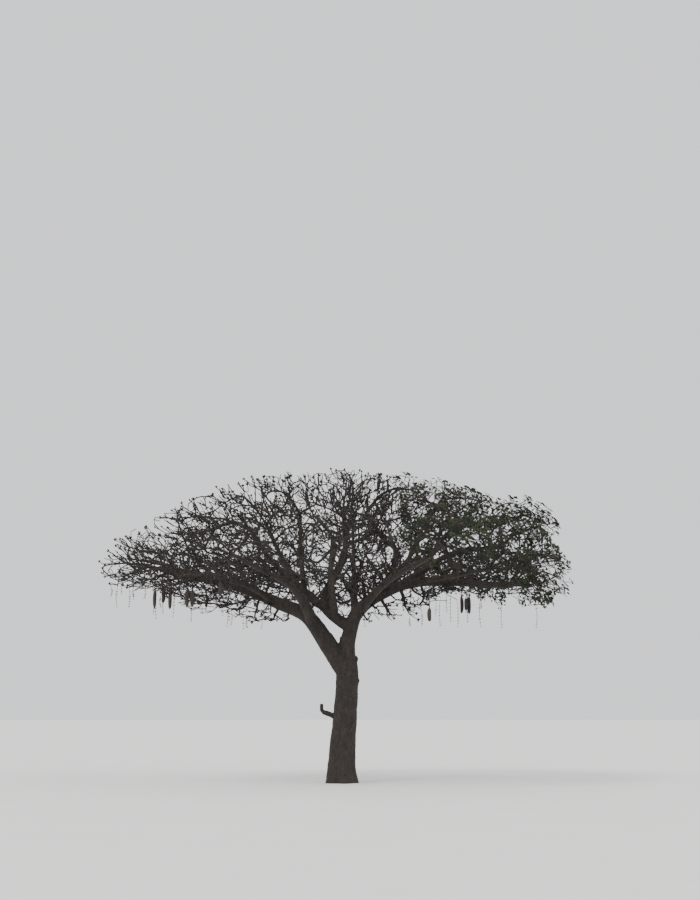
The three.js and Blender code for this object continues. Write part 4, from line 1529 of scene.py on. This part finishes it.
class SAUSAGETREE_OT_twigs(bpy.types.Operator):
    """Grows the twigs on from the limbs, with knobs of buds at bare tips"""

    bl_idname = "sausage_tree.twigs"
    bl_label = "Twigs and buds"

    def execute(self, context):
        settings = context.scene.tree_twigs
        finish = twig_finish(settings)
        _, zones = crown_lines(settings, context.scene.tree_bark.bark_limit)
        for zone, lines in zones.items():
            nodes = [name for name, row in MASSES.items() if zone_at(row[1][0]) == zone]
            seat(sized_skins(f"twigs_{zone}", lines, finish), nodes)
        random = seeded(KNOB_SEED)
        rows = []
        for at, heading, leafy in crown_tips(settings):
            if random() < settings.knob_share * (1 - leafy):
                size = settings.knob_size * (KNOB_LEAST + KNOB_EXTRA * random())
                rows.append((at, unit(heading + UP * KNOB_LIFT), size))
        seat(dealt("bud_knobs", buds(*KNOB), rows, bud_finish(settings), KNOB_DEAL_SEED))
        return {"FINISHED"}


# Leaves

# A leaflet's edge, round from its root: the share of its length, and how far out and up by its width
LEAFLET = [(0.38, 1.0, 0.22), (0.78, 0.8, 0.2), (1, 0, -0.25), (0.78, -0.8, 0.2), (0.38, -1.0, 0.22)]

# The pairs of side leaflets on each leaf of a spray, for each colour
SPRAYS = {"dark": (1, 1, 0, 1), "olive": (1, 0, 1, 0), "green": (1, 1, 0, 1), "bronze": (0, 1, 0, 1)}
SPRAY_SEED = 40
LEAF_DEAL_SEED = 11
SPRAY_SPREAD = 0.12
SPRAY_LIFT = 0.5

# A spray's forms, as shares of its size: its leaves' turn, rise, reach and droop, their stalks' width at root
# and tip, the end and side leaflets' length and width, how much these vary, and where the pairs sit on the
# stalk and how they lie
LEAF_TURN = 0.35
LEAF_RISE = 0.25
LEAF_RISE_EXTRA = 0.5
LEAF_REACH = 0.5
LEAF_REACH_EXTRA = 0.12
LEAF_DROOP = 0.06
END_DROOP = 0.15
LEAF_STALK = (0.02, 0.012)
END_LEAFLET = (0.58, 0.18)
SIDE_LEAFLET = (0.5, 0.16)
LENGTH_SPREAD = 0.08
WIDTH_SPREAD = 0.04
FIRST_PAIR = 0.96
PAIR_STEP = 0.42
PAIR_ONWARD = 0.55
PAIR_RISE = 0.5
PAIR_LOWER = 0.4

# Leaf is fuller and its sprays are larger towards the crown's rim
RIM_FROM = 0.72
RIM_OVER = 0.2
INNER_LEAF = 0.62
SPRAY_LEAST = 0.8
SPRAY_EXTRA = 0.35


def leaflet(root, direction, up, size, width):
    """A folded leaflet of two faces in its own outline, widest past its middle."""
    direction = unit(direction)
    side = unit(np.cross(direction, up))
    up = np.cross(side, direction)

    points = [root]
    for along, out, rise in LEAFLET:
        points.append(root + direction * size * along + side * width * out + up * width * rise)
    return points, [(0, 3, 2, 1), (0, 5, 4, 3)]


def spray_shape(seed, leaves):
    """One spray: a few compound leaves from the end of a twig, each with its stalk and a few leaflets."""
    random = seeded(seed)
    shapes = []
    for number, pairs in enumerate(leaves):
        turn = math.tau * (number + LEAF_TURN * random()) / len(leaves)
        rise = LEAF_RISE + LEAF_RISE_EXTRA * random()
        out = unit(np.array([math.cos(turn), math.sin(turn), rise]))
        side = unit(np.cross(out, UP))
        up = np.cross(side, out)
        tip = out * (LEAF_REACH + LEAF_REACH_EXTRA * random()) - UP * LEAF_DROOP
        foot, end = side * LEAF_STALK[0], side * LEAF_STALK[1]
        shapes.append(([foot, -foot, tip - end, tip + end], [(0, 1, 2, 3)]))
        long, wide = END_LEAFLET
        shapes.append(leaflet(tip, out - UP * END_DROOP, up, long, wide + WIDTH_SPREAD * random()))
        long, wide = SIDE_LEAFLET
        for pair in range(pairs):
            base = tip * (FIRST_PAIR - PAIR_STEP * pair)
            for hand in (-1, 1):
                way = out * PAIR_ONWARD + side * hand + up * (random() - PAIR_LOWER) * PAIR_RISE
                size = long + LENGTH_SPREAD * random()
                shapes.append(leaflet(base, way, up, size, wide + WIDTH_SPREAD * random()))
    return gathered(shapes)


class SAUSAGETREE_OT_leaves(bpy.types.Operator):
    """Deals out sprays of young leaves on the twigs that are in leaf"""

    bl_idname = "sausage_tree.leaves"
    bl_label = "Leaves"

    def execute(self, context):
        settings = context.scene.tree_leaves
        random = seeded(settings.seed)
        rows = {kind: [] for kind in SPRAYS}
        for at, heading, leafy in crown_tips(context.scene.tree_twigs):
            far = math.sqrt((((at - CROWN_HEART) / FULL_REACH) ** 2).sum())
            outer = portion(far, RIM_FROM, RIM_OVER)
            if random() < leafy * (INNER_LEAF + (1 - INNER_LEAF) * outer):
                kind = list(SPRAYS)[int(random() * len(SPRAYS))]
                size = settings.spray_size * (SPRAY_LEAST + SPRAY_EXTRA * random() + SPRAY_EXTRA * outer)
                rows[kind].append((at, unit(heading + UP * SPRAY_LIFT), size))
        for number, (kind, leaves) in enumerate(SPRAYS.items()):
            finish = leaf_finish(f"Leaf {kind}", getattr(settings, kind))
            shape = spray_shape(SPRAY_SEED + number, leaves)
            seed = LEAF_DEAL_SEED + number
            seat(dealt(f"leaves_{kind}", shape, rows[kind], finish, seed, SPRAY_SPREAD))
        return {"FINISHED"}


# Fruit and hanging stalks

# The fruit's outline: shares of its length, each with the share of its greatest width there
FRUIT_PROFILE = [
    (0, 0), (0.03, 0.3), (0.08, 0.62), (0.16, 0.84), (0.28, 0.96), (0.42, 1), (0.58, 0.99), (0.74, 0.93),
    (0.86, 0.82), (0.94, 0.6), (0.985, 0.3), (1, 0),
]
FRUIT_SIDES = 20
FRUIT_BEND = 0.09
FRUIT_GIRTH = 0.94
FRUIT_GIRTH_EXTRA = 0.1
FRUIT_POLE = 0.02

# The fruit's low ridges: how many, how deep by its radius, and how far the finer ones turn down its length
LOBES = (3, 0.035)
RIDGES = (7, 0.012)
RIDGE_TURN = 9

# A fruit's stalk sways a little, its own way by its place, is set into the fruit, and is thicker there
FRUIT_SWAY = 0.02
SWAY_TURN = 9
SET_IN = 0.02
STALK_SWELL = 0.5
SWELL_POWER = 6
STALK_POINTS = 7
STALK_SIDES = 8

# Flower stalks: where the foremost ones hang, how long they are, how low they reach, how they sway, and their
# buds. They hang from tips that are low in the crown and have nothing of it close below them.
STALK_PLACES = [-7.55, -7.3, -6.5, -6.1, 2.2, 3.1, 4.7, 6.4]
STALK_DEPTH = 2.6
STALK_SHORTEST = 0.35
STALK_EXTRA = 0.75
STALK_LOWEST = 4.9
STALK_SWAY = 0.06
STALK_BOW = 0.9
FLOWER_STALK_SIDES = 4
STALK_RADII = (0.006, 0.0045)
BUD_SHARES = np.arange(0.3, 1.01, 0.11)
BUD_SIZE = 0.036
BUD_SIZE_EXTRA = 0.02
BUD_DEAL_SEED = 17
FOOT_HIGHEST = 6.7
FOOT_CLEAR = 0.22
FOOT_LEVEL = 0.03


def fruit_shape(top, long, radius, random):
    """A long fruit with a slight bend, low ridges and blunt ends."""
    turns = np.linspace(0, math.tau, FRUIT_SIDES, endpoint=False)
    bend = (random() - 0.5) * FRUIT_BEND * long
    toward = random() * math.tau
    girth = FRUIT_GIRTH + FRUIT_GIRTH_EXTRA * random()
    rings = []
    for share, width in FRUIT_PROFILE:
        lobes = 1 + LOBES[1] * np.cos(LOBES[0] * turns + toward) * width
        reach = radius * girth * max(width, FRUIT_POLE) * lobes
        reach = reach * (1 + RIDGES[1] * np.cos(RIDGES[0] * turns + RIDGE_TURN * share))
        shift = bend * math.sin(math.pi * share)
        x = top[0] + shift * math.cos(toward) + reach * np.cos(turns)
        y = top[1] + shift * math.sin(toward) + reach * np.sin(turns)
        rings.append(np.column_stack([x, y, np.full_like(turns, top[2] - long * share)]))
    return lathe(rings[::-1])


def stalk_points(at, long, out, shares):
    """Points down a hanging stalk, which sways out between its ends."""
    return at + np.sin(shares * math.pi * STALK_BOW)[:, None] * out - UP * (long * shares)[:, None]


def low_tips(settings):
    """Tips on the crown's underside, with nothing of the tree below them."""
    tips = np.array([row[0] for row in crown_tips(settings)])
    feet = []
    for at in tips:
        beside = np.hypot(tips[:, 0] - at[0], tips[:, 1] - at[1]) < FOOT_CLEAR
        if at[2] < FOOT_HIGHEST and not (tips[beside][:, 2] < at[2] - FOOT_LEVEL).any():
            feet.append(at)
    return feet


class SAUSAGETREE_OT_fruit(bpy.types.Operator):
    """Hangs the long fruit on their stalks, and bare flower stalks with buds"""

    bl_idname = "sausage_tree.fruit"
    bl_label = "Fruit and hanging stalks"

    def execute(self, context):
        settings = context.scene.tree_fruit
        random = seeded(FRUIT_SEED)
        shares = np.linspace(0, 1, STALK_POINTS)
        shapes, stalks = [], []
        for _, at, stalk, long in FRUIT:
            top = np.array(at) - UP * stalk
            shapes.append(fruit_shape(top, long, settings.radius, random))
            toward = at[0] * SWAY_TURN
            sway = FRUIT_SWAY * np.array([math.cos(toward), math.sin(toward), 0])
            line = at + (top - at) * shares[:, None] + np.sin(shares * math.pi)[:, None] * sway
            line[-1][2] -= SET_IN
            stalks.append((line, settings.stalk_radius * (1 + STALK_SWELL * shares**SWELL_POWER)))
        fruit = placed("fruit", mesh_of("fruit", *gathered(shapes)), fruit_finish(settings))
        fruit.data.shade_smooth()
        seat(fruit)
        finish = bpy.data.materials["Twig bark"]
        seat(skinned("fruit_stalks", stalks, finish, STALK_SIDES))
        self.hang(context, random, finish)
        return {"FINISHED"}

    def hang(self, context, random, finish):
        """Bare stalks that hang from the lowest twigs, with pairs of buds down their length."""
        feet = low_tips(context.scene.tree_twigs)
        near = [at for at in feet if abs(at[1]) < STALK_DEPTH]
        chosen = [min(near, key=lambda at: abs(at[0] - x)) for x in STALK_PLACES]
        while len(chosen) < context.scene.tree_fruit.stalk_count:
            chosen.append(feet[int(random() * len(feet))])
        lines, rows = [], []
        for at in chosen:
            long = min(STALK_SHORTEST + STALK_EXTRA * random(), at[2] - STALK_LOWEST)
            toward = random() * math.tau
            out = np.array([math.cos(toward), math.sin(toward), 0]) * STALK_SWAY
            line = stalk_points(at, long, out, np.linspace(0, 1, STALK_POINTS))
            lines.append((line, np.linspace(*STALK_RADII, STALK_POINTS)))
            for place in stalk_points(at, long, out, BUD_SHARES):
                rows.append((place, UP, BUD_SIZE + BUD_SIZE_EXTRA * random()))
        seat(skinned("flower_stalks", lines, finish, FLOWER_STALK_SIDES))
        finish = bpy.data.materials["Bud scales"]
        seat(dealt("flower_buds", buds(*BUD_PAIR), rows, finish, BUD_DEAL_SEED))


# Stage

FLOOR_SIDES = 120

# Each light: its share of the main light's strength, its tilt and turn, and its width, in degrees
LIGHTS = {"key_light": (1, 42, -38, 20), "fill_light": (0.35, 55, 60, 40)}
CAMERA_PLACE = (0.28, -45.5, 2.18)
CAMERA_RISE = 10.58
CAMERA_LENS = 56.24
CAMERA_SENSOR = 36
CAMERA_RANGE = 2000


class SAUSAGETREE_OT_stage(bpy.types.Operator):
    """Lays the pale floor, sets the soft lights and places the camera"""

    bl_idname = "sausage_tree.stage"
    bl_label = "Stage"

    def execute(self, context):
        settings = context.scene.tree_stage
        turns = np.linspace(0, math.tau, FLOOR_SIDES, endpoint=False)
        half = settings.floor_size / 2
        rim = [(half * math.cos(turn), half * math.sin(turn), 0) for turn in turns]
        floor = placed("floor", mesh_of("floor", rim, [tuple(range(FLOOR_SIDES))]), floor_finish(settings))
        world = bpy.data.worlds.new("Soft light")
        world.use_nodes = True
        sky = world.node_tree.nodes["Background"]
        sky.inputs["Color"].default_value = (*settings.sky_colour, 1)
        sky.inputs["Strength"].default_value = settings.sky_strength
        context.scene.world = world
        for name, (strength, tilt, turn, width) in LIGHTS.items():
            light = bpy.data.lights.new(name, "SUN")
            light.energy = settings.key_strength * strength
            light.angle = math.radians(width)
            lamp = placed(name, light)
            lamp.rotation_euler = (math.radians(tilt), 0, math.radians(turn))
        camera = bpy.data.cameras.new("camera")
        camera.lens = CAMERA_LENS
        camera.sensor_width = CAMERA_SENSOR
        camera.clip_end = CAMERA_RANGE
        viewer = placed("camera", camera)
        viewer.location = CAMERA_PLACE
        viewer.rotation_euler = (math.radians(90 + CAMERA_RISE), 0, 0)
        context.scene.camera = viewer
        return {"FINISHED"}


# Panel and run

PARTS = {
    "tree_stage": (StageSettings, SAUSAGETREE_OT_stage),
    "tree_bark": (BarkSettings, SAUSAGETREE_OT_bark),
    "tree_twigs": (TwigSettings, SAUSAGETREE_OT_twigs),
    "tree_leaves": (LeafSettings, SAUSAGETREE_OT_leaves),
    "tree_fruit": (FruitSettings, SAUSAGETREE_OT_fruit),
}


class SAUSAGETREE_PT_panel(bpy.types.Panel):
    """Lists the tree's parts with their sizes and colours"""

    bl_idname = "SAUSAGETREE_PT_panel"
    bl_label = "Sausage tree"
    bl_space_type = "VIEW_3D"
    bl_region_type = "UI"
    bl_category = "Tree"

    def draw(self, context):
        for key, (group, operator) in PARTS.items():
            box = self.layout.box()
            box.operator(operator.bl_idname)
            for name in group.__annotations__:
                box.prop(getattr(context.scene, key), name)


CLASSES = [*(cls for pair in PARTS.values() for cls in pair), SAUSAGETREE_PT_panel]


def register():
    for cls in CLASSES:
        bpy.utils.register_class(cls)
    for key, (group, _) in PARTS.items():
        setattr(bpy.types.Scene, key, PointerProperty(type=group))


def unregister():
    for key in PARTS:
        delattr(bpy.types.Scene, key)
    for cls in reversed(CLASSES):
        bpy.utils.unregister_class(cls)


def main():
    register()
    bpy.ops.sausage_tree.stage()
    bpy.ops.sausage_tree.bark()
    bpy.ops.sausage_tree.twigs()
    bpy.ops.sausage_tree.leaves()
    bpy.ops.sausage_tree.fruit()


if __name__ == "__main__":
    main()
